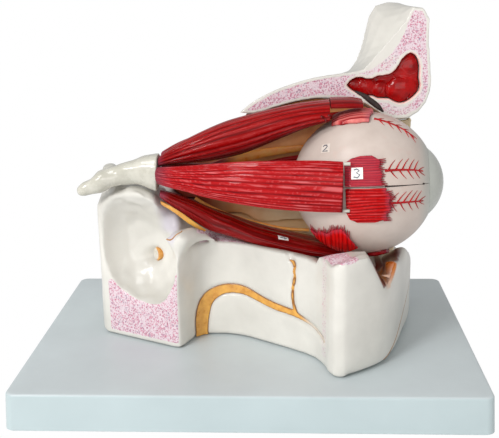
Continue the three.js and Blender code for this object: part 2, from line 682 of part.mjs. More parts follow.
const stalkBranchLine = [[-78, -12, 122, 4.6, 4.6], [-83, -4, 122, 4.8, 4.8], [-86, 6, 121.5, 4.8, 4.8], [-88, 14, 120.5, 3.6, 3.6]];

// Eyeball, in its own frame: X the way it looks, Z square to the seam

const eyeball = new THREE.Group();
eyeball.position.set(eyeX, eyeY, eyeZ);
eyeball.quaternion.setFromRotationMatrix(new THREE.Matrix4().makeBasis(gaze, noseWay, liftWay));
const pullInEye = pullWay.clone().applyQuaternion(eyeball.quaternion.clone().invert());
root.add(eyeball);

const eyeSides = 32;
const upperHalf = box([-far, -far, gap / 2], [far, far, far]);
const lowerHalf = box([-far, -far, -far], [far, far, -gap / 2]);

// A ball-shaped coat with the round opening at the front.
function coat(outer, wall, opening) {
  const inner = outer - wall;
  const edge = (radius) => THREE.MathUtils.radToDeg(Math.asin(opening / radius));
  const outside = arc(0, outer, 180, edge(outer), 10);
  const inside = arc(0, inner, edge(inner), 180, 10);
  return turned([...outside, ...inside], eyeSides);
}

// The peg starts behind the coat, and runs into it along the way that the eyeball comes out.
const pegSeat = new THREE.Vector3(0, 0, -pegDrop).addScaledVector(
  pullInEye,
  -Math.sqrt(eyeRadius ** 2 - pegDrop ** 2),
);

function pegRod(radius, from, to) {
  const at = (distance) => pegSeat.clone().addScaledVector(pullInEye, distance);
  return rod(at(from), at(to), radius);
}

// Muscle ends on the eyeball, drawn as seen along one of its axes.
const lateralUpperStub = [
  [-9.6, 0.6], [-9.8, 13], [-6, 15.6], [-1, 16.8], [5, 16.9], [9.5, 14], [8.6, 10], [10.4, 7], [9.4, 3.5], [10.6, 0.6],
];
const lateralLowerStub = [
  [-9.4, -0.6], [12.6, -0.6], [12, -3], [14.6, -5], [13.4, -9], [14.8, -12], [12, -14.5], [12.4, -18], [6, -19.3],
  [-3.7, -19.2], [-7.6, -17.4], [-9.3, -13.7],
];
const superiorStub = [
  [-17, -18], [-11, -21.5], [-3, -23], [4, -22.4], [4.6, -16], [6.4, -10], [5, -2], [6, 6], [4, 13], [-6, 13.5], [-17, 11],
];
const obliqueStub = [
  [-31, -24.5], [-26.6, -27.2], [-24.8, -25], [-20.4, -26.4], [-16.6, -23.6], [-12.3, -23], [-8.1, -28.6],
  [-3.5, -35], [-10, -38.3], [-20, -37.2], [-26, -33],
];
const inferiorStub = [[0, -11], [12, -12], [14, -4], [13, 6], [10, 12], [0, 10]];

function coatSkin() {
  const inner = eyeRadius + gap;
  return turned([...arc(0, inner + stubThickness, 180, 0, 20), ...arc(0, inner, 0, 180, 18)], 36);
}

// Open slots in the stubs, for the pins on the end of the lateral rectus.
function pinNotches() {
  const notches = lateralPinPlaces.map((start) => {
    const reach = pinRadius + gap;
    const from = [start.x - 2, start.y - 6, start.z - reach];
    return box(from, [start.x + pinLength + gap, start.y + reach, start.z + reach]);
  });
  const toEye = eyeball.matrixWorld.clone().invert();
  return notches[0].add(notches[1]).transform(toEye.toArray());
}

// Round room for the same pins in the coat below.
function pinSeats() {
  const seats = lateralPinPlaces.map((start) => {
    const end = start.clone().setX(start.x + pinLength + gap);
    return rod(start, end, pinRadius + pinPlay, 12);
  });
  const toEye = eyeball.matrixWorld.clone().invert();
  return seats[0].add(seats[1]).transform(toEye.toArray());
}

function makeEyeball() {
  const sclera = coat(eyeRadius, scleraWall, frontOpening).subtract(pinSeats());
  const socket = pegRod(pegRadius + gap, -4, pegDepth + gap);
  addMesh("upper_sclera", sclera.intersect(upperHalf), eyeWhite, eyeball);
  addMesh("lower_sclera", sclera.intersect(lowerHalf).subtract(socket), eyeWhite, eyeball);

  const choroidRadius = eyeRadius - scleraWall - slack;
  const choroid = coat(choroidRadius, choroidWall, frontOpening - slack);
  addMesh("upper_choroid", choroid.intersect(upperHalf), coatBrown, eyeball);
  addMesh("lower_choroid", choroid.intersect(lowerHalf), coatBrown, eyeball);

  const corneaBase = Math.sqrt(eyeRadius ** 2 - frontOpening ** 2);
  const rimRadius = frontOpening - slack;
  const domeMiddle = corneaBase - Math.sqrt(corneaRadius ** 2 - rimRadius ** 2);
  const domeEdge = THREE.MathUtils.radToDeg(Math.asin(rimRadius / corneaRadius));
  const inside = corneaRadius - corneaWall;
  const rimInside = rimRadius - corneaWall;
  const insideEdge = THREE.MathUtils.radToDeg(Math.asin(rimInside / inside));
  const rimBack = corneaBase - corneaRim;
  addMesh(
    "cornea",
    turned(
      [
        ...arc(domeMiddle, corneaRadius, 0, domeEdge, 5),
        [rimRadius, rimBack],
        [rimInside, rimBack],
        ...arc(domeMiddle, inside, insideEdge, 0, 4),
      ],
      eyeSides,
    ),
    corneaClear,
    eyeball,
  );

  const irisFront = rimBack - gap;
  const irisBack = irisFront - irisThickness;
  const irisOuter = frontOpening - 2 * slack;
  const irisProfile = [[pupilRadius, irisBack], [pupilRadius, irisFront], [irisOuter, irisFront], [irisOuter, irisBack]];
  addMesh("iris", turned([...irisProfile, irisProfile[0]], eyeSides), irisBlue, eyeball);

  const lensMiddle = irisBack - lensFront - 1;
  const bulge = (height, from, to) => {
    const radius = (lensRadius ** 2 + height ** 2) / (2 * height);
    const angle = THREE.MathUtils.radToDeg(Math.asin(lensRadius / radius));
    return { radius, angle, from, to };
  };
  const front = bulge(lensFront);
  const back = bulge(lensBack);
  const lensSides = 24;
  const lensProfile = (extra) => [
    ...arc(lensMiddle + lensFront - front.radius, front.radius + extra, 0, front.angle, 3),
    ...arc(lensMiddle - lensBack + back.radius, back.radius + extra, 180 - back.angle, 180, 4),
  ];
  addMesh("lens", turned(lensProfile(0), lensSides), gelClear, eyeball);

  const gelRadius = choroidRadius - choroidWall - slack;
  const gelFront = lensMiddle + 1.5;
  const gelEdge = THREE.MathUtils.radToDeg(Math.acos(gelFront / gelRadius));
  const gel = turned([...arc(0, gelRadius, 180, gelEdge, 10), [0, gelFront]], eyeSides);
  const lensSeat = turned(lensProfile(gap), lensSides);
  const lensWay = turned([[0, lensMiddle], [lensRadius + slack, lensMiddle], [lensRadius + slack, far], [0, far]], lensSides);
  addMesh("vitreous_body", gel.subtract(lensSeat).subtract(lensWay), gelClear, eyeball);

  const skin = coatSkin();
  const outerSide = (outline) => plate(outline, -far, -8).subtract(pinNotches());
  const innerSide = (outline) => plate(outline, 8, far);
  addMesh("lateral_stub_upper", skin.intersect(outerSide(lateralUpperStub)), muscleRed, eyeball);
  addMesh("lateral_stub_lower", skin.intersect(outerSide(lateralLowerStub)), muscleRed, eyeball);
  addMesh("medial_stub_upper", skin.intersect(innerSide(lateralUpperStub)), muscleRed, eyeball);
  addMesh("medial_stub_lower", skin.intersect(innerSide(lateralLowerStub)), muscleRed, eyeball);
  addMesh("superior_stub", skin.intersect(prism(superiorStub, 5, far)), muscleRed, eyeball);
  addMesh("inferior_stub", skin.intersect(prism(inferiorStub, -far, -5)), muscleRed, eyeball);
  const obliqueSide = obliqueStubDepth - eyeRadius;
  addMesh("inferior_oblique_stub", skin.intersect(plate(obliqueStub, -far, obliqueSide)), muscleRed, eyeball);
}

function makeStalkAndNerves(block) {
  const raisedBlock = block.translate([0, 0, gap]);
  const stalk = strap(stalkLine, up, 12, 14)
    .add(strap(stalkBranchLine, up, 4, 12))
    .subtract(raisedBlock)
    .subtract(box([apexX, -far, 0], [0, far, 200]));
  addMesh("nerve_stalk", largestOf(stalk), sheathWhite);

  const pegEnd = pegSeat.clone().addScaledVector(pullInEye, -1.2);
  const nerveEnd = eyeball.localToWorld(pegEnd.clone());
  const nerveRun = [
    [apexX - 1, apexY, apexZ, nerveRadius - 1, nerveRadius - 1],
    [apexX + 30, apexY + 5, apexZ - 5, nerveRadius, nerveRadius],
    [nerveEnd.x - 14, nerveEnd.y + 3.2, nerveEnd.z + 0.6, nerveRadius, nerveRadius],
    [nerveEnd.x, nerveEnd.y, nerveEnd.z, nerveRadius, nerveRadius],
  ];
  const pegInWorld = (radius, from, to) => {
    const at = (distance) => eyeball.localToWorld(pegSeat.clone().addScaledVector(pullInEye, distance));
    return rod(at(from), at(to), radius);
  };
  const nerve = apexStrap(nerveRun, up, 10, 14).subtract(pegInWorld(pegRadius + gap, -10, 4));
  addMesh("optic_nerve", nerve, nerveYellow);
  addMesh("eyeball_peg", pegInWorld(pegRadius, -10 + gap, pegDepth), sheathWhite);
  addMesh("wall_nerve", apexStrap(wallNerveLine, outward, 10, 8), nerveYellow);
}

function makeMuscles(block) {
  addMesh("lateral_rectus", cutAt(apexStrap(lateralLine, outward, 12), lateralEndX), muscleRed);
  lateralPinPlaces.forEach((start, i) => {
    const end = start.clone().setX(start.x + pinLength);
    addMesh(`lateral_pin_${i + 1}`, rod(start, end, pinRadius, 12), sheathWhite);
  });
  addMesh("superior_rectus", cutAt(apexStrap(superiorLine, up, 12), muscleEndX), muscleRed);
  const lidLifter = strap(lidLifterLine, up, 6).subtract(box([0, -far, 0], [muscleEndX + gap, far, 220]));
  addMesh("lid_lifter", lidLifter, muscleDark);
  const raisedBlock = block.translate([0, 0, gap]);
  const inferior = apexStrap(inferiorLine, up, 13).subtract(raisedBlock);
  addMesh("inferior_rectus", inferior, muscleDark);
  const floorNerve = apexStrap(floorNerveLine, outward, 8, 10)
    .subtract(raisedBlock)
    .subtract(inferior)
    .subtract(inferior.translate([0, -gap, -gap]));
  addMesh("floor_nerve", largestOf(floorNerve), nerveYellow);
  addMesh("medial_rectus", apexStrap(medialLine, outward, 10), muscleDark);
  addMesh("superior_oblique", apexStrap(obliqueLine, up, 10, 10), muscleRed);
}

// The tear sac's groove is lined on the inner side of the notch.
function makeTearSac(block) {
  const layer = notchCutter().subtract(notchCutter().translate([-3, -1, 2.6]));
  const sac = layer
    .intersect(prism(grown(blockOutline, -1.5), 60, 84))
    .subtract(block.translate([0, 0, gap]))
    .subtract(block)
    .subtract(block.translate([-gap, 0, 0]))
    .subtract(box([0, -90, 0], [77, 0, 100]))
    .subtract(eyePath());
  addMesh("tear_sac", largestOf(sac), nerveYellow);
}

root.updateMatrixWorld(true);
makeBase();
makeScrews();
const boneBlock = makeBoneBlock();
addMesh("bone_block", boneBlock, boneWhite);
makeJawNerves();
makeFrontalBone();
makeInnerWall(boneBlock);
makeStalkAndNerves(boneBlock);
makeMuscles(boneBlock);
makeTearSac(boneBlock);
makeEyeball();

export default root;
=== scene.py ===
"""Dresses the take-apart model of an eye in its cut-open orbit: bones, muscles, nerves and eyeball.

Sizes are in millimetres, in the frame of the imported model: X forward, Y towards the nose, Z up.
"""

import math

import bmesh
import bpy
import numpy as np
from mathutils import Matrix, Vector, noise
from mathutils.bvhtree import BVHTree
from mathutils.kdtree import KDTree


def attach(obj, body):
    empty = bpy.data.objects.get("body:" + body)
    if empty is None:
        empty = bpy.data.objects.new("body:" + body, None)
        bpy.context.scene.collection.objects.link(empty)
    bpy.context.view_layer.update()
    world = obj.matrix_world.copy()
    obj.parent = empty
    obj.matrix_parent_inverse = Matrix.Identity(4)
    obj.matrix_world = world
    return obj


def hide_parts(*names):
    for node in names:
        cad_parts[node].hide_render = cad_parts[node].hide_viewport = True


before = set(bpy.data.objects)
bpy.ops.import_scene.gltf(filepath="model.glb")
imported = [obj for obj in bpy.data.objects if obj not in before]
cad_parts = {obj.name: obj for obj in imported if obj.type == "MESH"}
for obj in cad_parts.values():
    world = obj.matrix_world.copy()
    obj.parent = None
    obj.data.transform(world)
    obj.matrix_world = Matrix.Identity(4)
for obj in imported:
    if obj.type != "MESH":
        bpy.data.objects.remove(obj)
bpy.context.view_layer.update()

MM = 0.001

# Sizes that the dressing shares with the model

GAP = 0.3
BASE_LENGTH = 260
BASE_WIDTH = 180
BASE_TOP = 22
BASE_BOTTOM = 1
BASE_WALL = 2.5
BASE_PLATE = 3
BASE_FLARE = 1
BASE_CORNER = 5
BASE_EDGE = 1.5
FOOT_RADIUS = 7
FOOT_THICKNESS = 2.7
FOOT_INSET = 17
SCREW_PLACES = [(-71, 4), (-38, 30), (34, -17), (84, 22)]

EYE_CENTRE = Vector((66, -10, 117.8))
EYE_RADIUS = 41
SCLERA_WALL = 3
CHOROID_WALL = 2.2
SLACK = 0.4
FRONT_OPENING = 19.6
CORNEA_RADIUS = 24.5
CORNEA_WALL = 1.5
CORNEA_RIM = 2.7
IRIS_THICKNESS = 1.4
PUPIL_RADIUS = 5.5
LENS_RADIUS = 15
LENS_FRONT = 5
LENS_BACK = 7.5
SEAM_TILT = math.radians(10)
GAZE_TURN = math.radians(5)
GAZE_RISE = math.radians(2.5)

GAZE = Vector(
    (
        math.cos(GAZE_RISE) * math.cos(GAZE_TURN),
        -math.cos(GAZE_RISE) * math.sin(GAZE_TURN),
        math.sin(GAZE_RISE),
    )
)
LIFT = Vector((0, math.sin(SEAM_TILT), math.cos(SEAM_TILT)))
LIFT = (LIFT - GAZE * LIFT.dot(GAZE)).normalized()
NOSE = LIFT.cross(GAZE)
EYE_TURN = Matrix((GAZE, NOSE, LIFT)).transposed()
EYE_FRAME = Matrix.Translation(EYE_CENTRE) @ EYE_TURN.to_4x4()

APEX_X = -52.5
APEX_Y = -14
ROOF_CUT_Y = 20


# Camera and light

CAMERA_PLACE = Vector((23.18, -490.42, 235.5))
CAMERA_YAW = 0.04974
CAMERA_PITCH = 0.2824
CAMERA_ROLL = -0.0166
# The photo's width and the camera's focal length, in pixels
PHOTO_WIDTH = 499
FOCAL_LENGTH = 846.25
SENSOR_WIDTH = 36
SOFT_LIGHT = 0.68
FLOOR_GREY = 0.86


def linked(name, data):
    """A new object in the scene, from a mesh, a lamp or a camera."""
    made = bpy.data.objects.new(name, data)
    bpy.context.collection.objects.link(made)
    return made


def add_node(tree, kind, settings=None, **inputs):
    """Adds a node and returns its outputs. An input is told by its name, or as i0 for the first."""
    made = tree.nodes.new(kind)
    for key, value in (settings or {}).items():
        setattr(made, key, value)
    for key, value in inputs.items():
        numbered = key[0] == "i" and key[1:].isdigit()
        slot = made.inputs[int(key[1:]) if numbered else key.replace("_", " ")]
        if isinstance(value, bpy.types.NodeSocket):
            tree.links.new(value, slot)
        else:
            slot.default_value = value
    return made.outputs


def place_camera():
    yaw, pitch, roll = CAMERA_YAW, CAMERA_PITCH, CAMERA_ROLL
    forward = Vector((-math.sin(yaw) * math.cos(pitch), math.cos(yaw) * math.cos(pitch), -math.sin(pitch)))
    level = Vector((math.cos(yaw), math.sin(yaw), 0))
    upright = level.cross(forward)
    right = math.cos(roll) * level + math.sin(roll) * upright
    up = math.cos(roll) * upright - math.sin(roll) * level
    lens = bpy.data.cameras.new("camera")
    lens.sensor_width = SENSOR_WIDTH
    lens.lens = SENSOR_WIDTH * FOCAL_LENGTH / PHOTO_WIDTH
    lens.clip_start = 0.01
    lens.clip_end = 20
    place = Matrix((right, up, -forward)).transposed().to_4x4()
    place.translation = CAMERA_PLACE * MM
    camera = linked("camera", lens)
    camera.matrix_world = place
    bpy.context.scene.camera = camera


def place_lamp(name, where, target, size, power):
    data = bpy.data.lights.new(name, "AREA")
    data.shape = "RECTANGLE"
    data.size, data.size_y = size
    data.energy = power
    lamp = linked(name, data)
    lamp.location = where
    lamp.rotation_euler = (Vector(target) - Vector(where)).to_track_quat("-Z", "Y").to_euler()


def light_the_scene():
    target = (0, 0, 0.1)
    place_lamp("key_lamp", (-0.75, -1.05, 0.75), target, (0.32, 0.32), 9.4)
    place_lamp("high_lamp", (-0.5, -0.5, 1.15), target, (0.4, 0.4), 3.6)
    place_lamp("front_lamp", (0.05, -1.4, 0.4), target, (0.8, 0.5), 3.2)
    world = bpy.data.worlds.new("studio")
    bpy.context.scene.world = world
    world.use_nodes = True
    tree = world.node_tree
    tree.nodes.clear()
    path = add_node(tree, "ShaderNodeLightPath")
    rays = path["Is Camera Ray"], path["Is Transmission Ray"]
    seen = add_node(tree, "ShaderNodeMath", {"operation": "MAXIMUM"}, i0=rays[0], i1=rays[1])[0]
    soft = add_node(tree, "ShaderNodeBackground", Strength=SOFT_LIGHT)[0]
    white = add_node(tree, "ShaderNodeBackground", Color=(1, 1, 1, 1))[0]
    blend = add_node(tree, "ShaderNodeMixShader", i0=seen, i1=soft, i2=white)[0]
    add_node(tree, "ShaderNodeOutputWorld", i0=blend)


def lay_the_floor():
    bpy.ops.mesh.primitive_plane_add(size=8, location=(0, 0, 0))
    floor = bpy.context.object
    floor.name = "floor"
    paint = bpy.data.materials.new("white_floor")
    paint.use_nodes = True
    tree = paint.node_tree
    tree.nodes.clear()
    matt = add_node(tree, "ShaderNodeBsdfDiffuse", Color=(FLOOR_GREY, FLOOR_GREY, FLOOR_GREY, 1))[0]
    glow = add_node(tree, "ShaderNodeEmission")[0]
    seen = add_node(tree, "ShaderNodeLightPath")["Is Camera Ray"]
    blend = add_node(tree, "ShaderNodeMixShader", i0=seen, i1=matt, i2=glow)[0]
    add_node(tree, "ShaderNodeOutputMaterial", i0=blend)
    floor.data.materials.append(paint)


# Material building blocks

# Nearly all of a noise lies between these two values
NOISE_LOW = 0.3
NOISE_HIGH = 0.7


def tone(red, green, blue):
    """A colour written as 0 to 255 on screen."""
    parts = [c / 255 for c in (red, green, blue)]
    return tuple(c / 12.92 if c <= 0.04045 else ((c + 0.055) / 1.055) ** 2.4 for c in parts) + (1.0,)


class Paint:
    """A node material under construction: each method adds nodes and returns an output.

    Inputs of the shader are told by their names, and colours as 0 to 255 on screen.
    """

    def __init__(self, name, **shader):
        self.material = bpy.data.materials.new(name)
        self.material.use_nodes = True
        self.tree = self.material.node_tree
        self.shader = self.tree.nodes["Principled BSDF"].inputs
        for key, value in {"Roughness": 0.3, "Coat_Roughness": 0.08, "IOR": 1.45, **shader}.items():
            self.shader[key.replace("_", " ")].default_value = value
        self.place = self.add("TexCoord", "Object")

    def add(self, kind, output=0, settings=None, **inputs):
        return add_node(self.tree, "ShaderNode" + kind, settings, **inputs)[output]

    def attribute(self, name):
        return self.add("Attribute", "Fac", {"attribute_name": name})

    def laid_out(self, first, second):
        """The place that two painted attributes tell."""
        return self.add("CombineXYZ", i0=self.attribute(first), i1=self.attribute(second))

    def facing_up(self):
        return self.add("SeparateXYZ", 2, i0=self.add("NewGeometry", 1))

    def noise(self, size, detail=3.0, roughness=0.55, stretch=(1, 1, 1), distortion=0.0, place=None):
        """Noise whose patches are about "size" millimetres across."""
        scale = [1 / (size * MM * s) for s in stretch]
        spread = self.add("Mapping", i0=place or self.place, i3=scale)
        look = {"Detail": detail, "Roughness": roughness, "Distortion": distortion}
        return self.add("TexNoise", "Fac", Vector=spread, Scale=1.0, **look)

    def dots(self, spacing, radius):
        """1 inside small dots that lie about "spacing" millimetres apart."""
        spread = self.add("Mapping", i0=self.place, i3=[1 / (spacing * MM)] * 3)
        distance = self.add("TexVoronoi", "Distance", Vector=spread, Scale=1.0, Randomness=1.0)
        return self.fade(distance, radius * 1.15 / spacing, radius * 0.6 / spacing)

    def fade(self, value, start, end, low=0.0, high=1.0):
        settings = {"interpolation_type": "SMOOTHSTEP"}
        return self.add("MapRange", 0, settings, i0=value, i1=start, i2=end, i3=low, i4=high)

    def rough(self, noise, low, high):
        return self.fade(noise, NOISE_LOW, NOISE_HIGH, low, high)

    def maths(self, operation, first, second):
        settings = {"operation": operation, "use_clamp": operation == "ADD"}
        return self.add("Math", 0, settings, i0=first, i1=second)

    def times(self, first, second):
        return self.maths("MULTIPLY", first, second)

    def average(self, first, second):
        return self.maths("ADD", self.times(first, 0.5), self.times(second, 0.5))

    def ramp(self, value, *stops):
        made = self.tree.nodes.new("ShaderNodeValToRGB")
        self.tree.links.new(value, made.inputs[0])
        for step, (position, colour) in enumerate(stops):
            point = made.color_ramp.elements[step] if step < 2 else made.color_ramp.elements.new(position)
            point.position = position
            point.color = tone(*colour)
        return made.outputs[0]

    def between(self, noise, dark, light):
        return self.ramp(noise, (NOISE_LOW, dark), (NOISE_HIGH, light))

    def blend(self, share, first, second):
        """Mixes two colours by a value or by a painted attribute's name."""
        if isinstance(share, str):
            share = self.attribute(share)
        first, second = (tone(*c) if isinstance(c, tuple) else c for c in (first, second))
        return self.add("Mix", 2, {"data_type": "RGBA"}, i0=share, i6=first, i7=second)

    def bump(self, height, depth, strength=1.0, **before):
        """Relief "depth" millimetres deep, over the relief that Normal tells."""
        return self.add("Bump", Height=height, Distance=depth * MM, Strength=strength, **before)

    def finish(self, colour, normal=None, roughness=None):
        for name, value in (("Base Color", colour), ("Normal", normal), ("Roughness", roughness)):
            if value is not None:
                self.tree.links.new(value, self.shader[name])
        return self.material


# Finishes


def painted_bone():
    paint = Paint("painted_bone", Coat_Weight=0.3, Coat_Roughness=0.06, Specular_IOR_Level=0.3)
    plain = paint.between(paint.noise(28, 4), (210, 207, 199), (226, 223, 215))
    # Painted shade: faces that look up are darker.
    plain = paint.blend(paint.fade(paint.facing_up(), 0.1, 0.8, 0.0, 0.42), plain, (168, 165, 157))
    # Painted shade: a lilac grey in the pit near the muscles' origin.
    plain = paint.blend("lilac", plain, (204, 198, 208))
    pores = paint.noise(0.9, 2)
    ground = paint.ramp(pores, (0.3, (214, 192, 200)), (0.75, (232, 218, 222)))
    speckle = paint.maths("MAXIMUM", paint.dots(0.95, 0.42), paint.dots(1.6, 0.62))
    speckle = paint.times(speckle, paint.fade(paint.noise(4, 2), 0.32, 0.46))
    dot_stops = (0.3, (158, 74, 108)), (0.7, (140, 116, 140)), (0.5, (206, 116, 144))
    dot_colour = paint.ramp(paint.noise(2.4, 1), *dot_stops)
    sawn = paint.blend(paint.times(speckle, 0.85), ground, dot_colour)
    ragged = paint.times(paint.maths("SUBTRACT", pores, 0.5), 0.5)
    share = paint.fade(paint.maths("ADD", paint.attribute("cut"), ragged), 0.42, 0.6)
    colour = paint.blend(share, plain, sawn)
    # Rim, tan and ochre are the bone's own paint; maroon is painted shade.
    stains = {"rim": (250, 190, 180), "tan": (242, 206, 158), "ochre": (218, 128, 52), "maroon": (92, 8, 8)}
    for name, stain in stains.items():
        colour = paint.blend(name, colour, stain)
    waves = paint.times(paint.noise(9, 3), 0.7)
    relief = paint.maths("ADD", waves, paint.times(speckle, share))
    normal = paint.bump(paint.noise(20, 1), 1.2, 0.35, Normal=paint.bump(relief, 0.12, 0.5))
    return paint.finish(colour, normal, paint.fade(share, 0.0, 1.0, 0.3, 0.5))


def painted_muscle(name, dark, middle, light, painted_glint=0.35, gloss=0.16):
    paint = Paint(name, Coat_Weight=gloss, Coat_Roughness=0.06, Specular_IOR_Level=0.06)
    ridge = paint.attribute("ridge")
    place = paint.laid_out("along", "across")
    streak = paint.noise(1.0, 3, 0.6, (26, 0.8, 1), 0.3, place)
    strand = paint.noise(1.0, 2, 0.5, (50, 0.35, 1), 0.2, place)
    bead = paint.noise(1.0, 1, 0.4, (1.9, 0.8, 1), 0.0, place)
    shine = paint.noise(1.0, 1, 0.4, (16, 1.1, 1), 0.0, place)
    colour = paint.ramp(paint.average(ridge, streak), (0.28, dark), (0.84, light), (0.55, middle))
    # Painted highlights: pale pink glints on the bundles' crests.
    glint = paint.maths("MAXIMUM", paint.fade(bead, 0.5, 0.74, 0, 0.55), paint.fade(shine, 0.5, 0.7))
    glint = paint.times(glint, paint.fade(ridge, 0.6, 0.95))
    colour = paint.blend(paint.times(glint, painted_glint), colour, (238, 140, 142))
    fringe = paint.times(paint.attribute("pale"), paint.fade(strand, 0.3, 0.7, 0.45, 1.0))
    colour = paint.blend(fringe, colour, (150, 76, 98))
    colour = paint.blend("shade", colour, (40, 2, 8))
    normal = paint.bump(paint.average(bead, streak), 0.3, 0.7)
    return paint.finish(colour, normal, paint.rough(streak, 0.2, 0.36))


def painted_nerve(name, dark, light):
    paint = Paint(name, Coat_Weight=0.4, Coat_Roughness=0.1)
    mottle = paint.noise(5, 3)
    colour = paint.between(mottle, dark, light)
    # Painted shade: darker brown where the nerve meets the bone.
    colour = paint.blend("stain", colour, (124, 66, 22))
    colour = paint.blend("faded", colour, (216, 210, 198))
    # Painted shade: dark red where a nerve or lining runs far in.
    colour = paint.blend("red", colour, (132, 14, 10))
    normal = paint.bump(paint.noise(1.6, 2), 0.1, 0.5)
    return paint.finish(colour, normal, paint.rough(mottle, 0.25, 0.4))


def painted_eye_white():
    paint = Paint("painted_eye_white", Coat_Weight=0.2, Coat_Roughness=0.16)
    mottle = paint.noise(14, 4)
    colour = paint.between(mottle, (197, 181, 171), (209, 194, 184))
    flush = paint.fade(paint.noise(6, 3), 0.56, 0.75, 0.0, 0.16)
    colour = paint.blend(flush, colour, (212, 168, 156))
    colour = paint.blend("front", colour, (184, 184, 176))
    normal = paint.bump(paint.noise(2.2, 3), 0.06, 0.5)
    return paint.finish(colour, normal, paint.rough(mottle, 0.34, 0.46))


def painted_board():
    paint = Paint("moulded_board", Coat_Weight=0.15, Coat_Roughness=0.2)
    mottle = paint.noise(60, 4)
    # Painted light and shade: faces that look up are lighter than the sides.
    side = paint.between(mottle, (180, 194, 196), (188, 202, 204))
    top = paint.between(mottle, (190, 198, 200), (199, 208, 210))
    colour = paint.blend(paint.fade(paint.facing_up(), 0.4, 0.9), side, top)
    normal = paint.bump(paint.noise(0.9, 2), 0.03, 0.5)
    return paint.finish(colour, normal, paint.rough(paint.noise(25, 3), 0.34, 0.46))


def painted_wall():
    paint = Paint("painted_inner_wall", Coat_Weight=0.15)
    mottle = paint.noise(18, 5)
    colour = paint.ramp(mottle, (0.25, (220, 138, 78)), (0.75, (244, 200, 146)), (0.5, (232, 168, 108)))
    # Painted light: the lower, forward part of the wall is lighter.
    colour = paint.blend("low", colour, paint.between(mottle, (238, 208, 164), (248, 232, 202)))
    # Painted shade: dark red far in, under the muscles.
    colour = paint.blend("deep", colour, (110, 20, 12))
    spots = paint.times(paint.dots(3.2, 0.9), paint.fade(paint.noise(7, 2), 0.4, 0.55))
    colour = paint.blend("brow", colour, paint.blend(spots, (216, 196, 160), (150, 112, 48)))
    bone = paint.between(paint.noise(20, 3), (214, 210, 202), (226, 223, 217))
    colour = paint.blend("back", colour, bone)
    return paint.finish(colour, paint.bump(paint.noise(5, 3), 0.3, 0.5), paint.rough(mottle, 0.3, 0.45))


def painted_iris():
    paint = Paint("painted_iris", Coat_Weight=0.4)
    threads = paint.noise(1.0, 3, 0.6, (0.9, 5, 1), 0.5, paint.laid_out("turn", "out"))
    colour = paint.ramp(threads, (0.3, (28, 50, 78)), (0.5, (74, 112, 146)), (0.72, (160, 186, 196)))
    colour = paint.blend(paint.fade(paint.attribute("out"), 16.5, 18.5), colour, (30, 36, 46))
    return paint.finish(colour, paint.bump(threads, 0.3, 0.6), paint.rough(threads, 0.3, 0.45))


def painted_coat():
    paint = Paint("painted_middle_coat", Coat_Weight=0.3)
    mottle = paint.noise(7, 4)
    outer = paint.between(mottle, (84, 30, 20), (138, 62, 38))
    inner = paint.between(paint.noise(9, 4), (206, 104, 52), (230, 142, 84))
    colour = paint.blend("inside", outer, inner)
    return paint.finish(colour, paint.bump(mottle, 0.15, 0.5), paint.rough(mottle, 0.28, 0.42))


def two_toned(name, grain, dark, light, relief=None, rough=None, fine=None, stretch=(1, 1, 1), **shader):
    """A finish of two tones over one noise.

    "grain" is the size and detail of that noise, "fine" those of the relief's own noise if it has one,
    "relief" its depth and strength, and "rough" the smallest and the largest roughness.
    """
    paint = Paint(name, **shader)
    tint = paint.noise(*grain, stretch=stretch)
    colour = paint.between(tint, dark, light)
    normal = paint.bump(paint.noise(*fine) if fine else tint, *relief) if relief else None
    return paint.finish(colour, normal, paint.rough(tint, *rough) if rough else None)


def painted_vessel(name, dark, light):
    shader = {"Coat_Weight": 0.2, "Specular_IOR_Level": 0.2}
    return two_toned(name, (2, 2), dark, light, (0.05, 0.4), (0.28, 0.4), **shader)


def label_paper(name, dark, light):
    return two_toned(name, (0.6, 3), dark, light, (0.03, 0.4), (0.45, 0.6))


BONE = painted_bone()
MUSCLE = painted_muscle("muscle_red", (92, 0, 10), (160, 6, 12), (190, 26, 30), 0.42, 0.22)
MUSCLE_TOP = painted_muscle("muscle_top_red", (92, 0, 2), (138, 0, 1), (160, 4, 4), 0.12)
MUSCLE_DEEP = painted_muscle("muscle_deep_red", (92, 0, 0), (122, 0, 0), (140, 0, 0), 0.08, 0.34)
MUSCLE_STUB = painted_muscle("muscle_stub_red", (110, 0, 8), (172, 0, 4), (200, 14, 14), 0.2)
# A brighter copy of the stub red: partly the stub's own vivid red, partly painted light for its place on the
# eyeball's underside.
MUSCLE_LIT = painted_muscle("muscle_lit_red", (140, 0, 2), (204, 2, 4), (222, 14, 12), 0.08)
MUSCLE_PALE = painted_muscle("muscle_pale_red", (140, 20, 26), (196, 72, 72), (230, 138, 130), 0.3)
NERVE = painted_nerve("painted_nerve", (206, 140, 60), (240, 182, 84))
WALL_NERVE = painted_nerve("wall_nerve_orange", (255, 154, 64), (255, 188, 96))
TEAR_SAC = painted_nerve("tear_sac_orange", (196, 98, 34), (224, 132, 54))
NERVE_EDGE = painted_nerve("nerve_edge_brown", (150, 104, 62), (190, 140, 92))
STALK = two_toned(
    "painted_stalk", (9, 3), (184, 181, 167), (206, 203, 191), (0.8, 0.6), (0.2, 0.34), (5, 3),
    Coat_Weight=0.6,
)
EYE_WHITE = painted_eye_white()
BOARD = painted_board()
SINUS = two_toned(
    "painted_sinus", (6, 3), (122, 2, 4), (172, 10, 10), (0.2, 0.5), (0.16, 0.3), (2.4, 2),
    Coat_Weight=0.25, Coat_Roughness=0.05, Specular_IOR_Level=0.1,
)
WALL = painted_wall()
FRINGE = painted_vessel("muscle_fringe", (138, 10, 26), (176, 46, 60))
VESSEL = painted_vessel("painted_vessel", (150, 10, 16), (192, 30, 34))
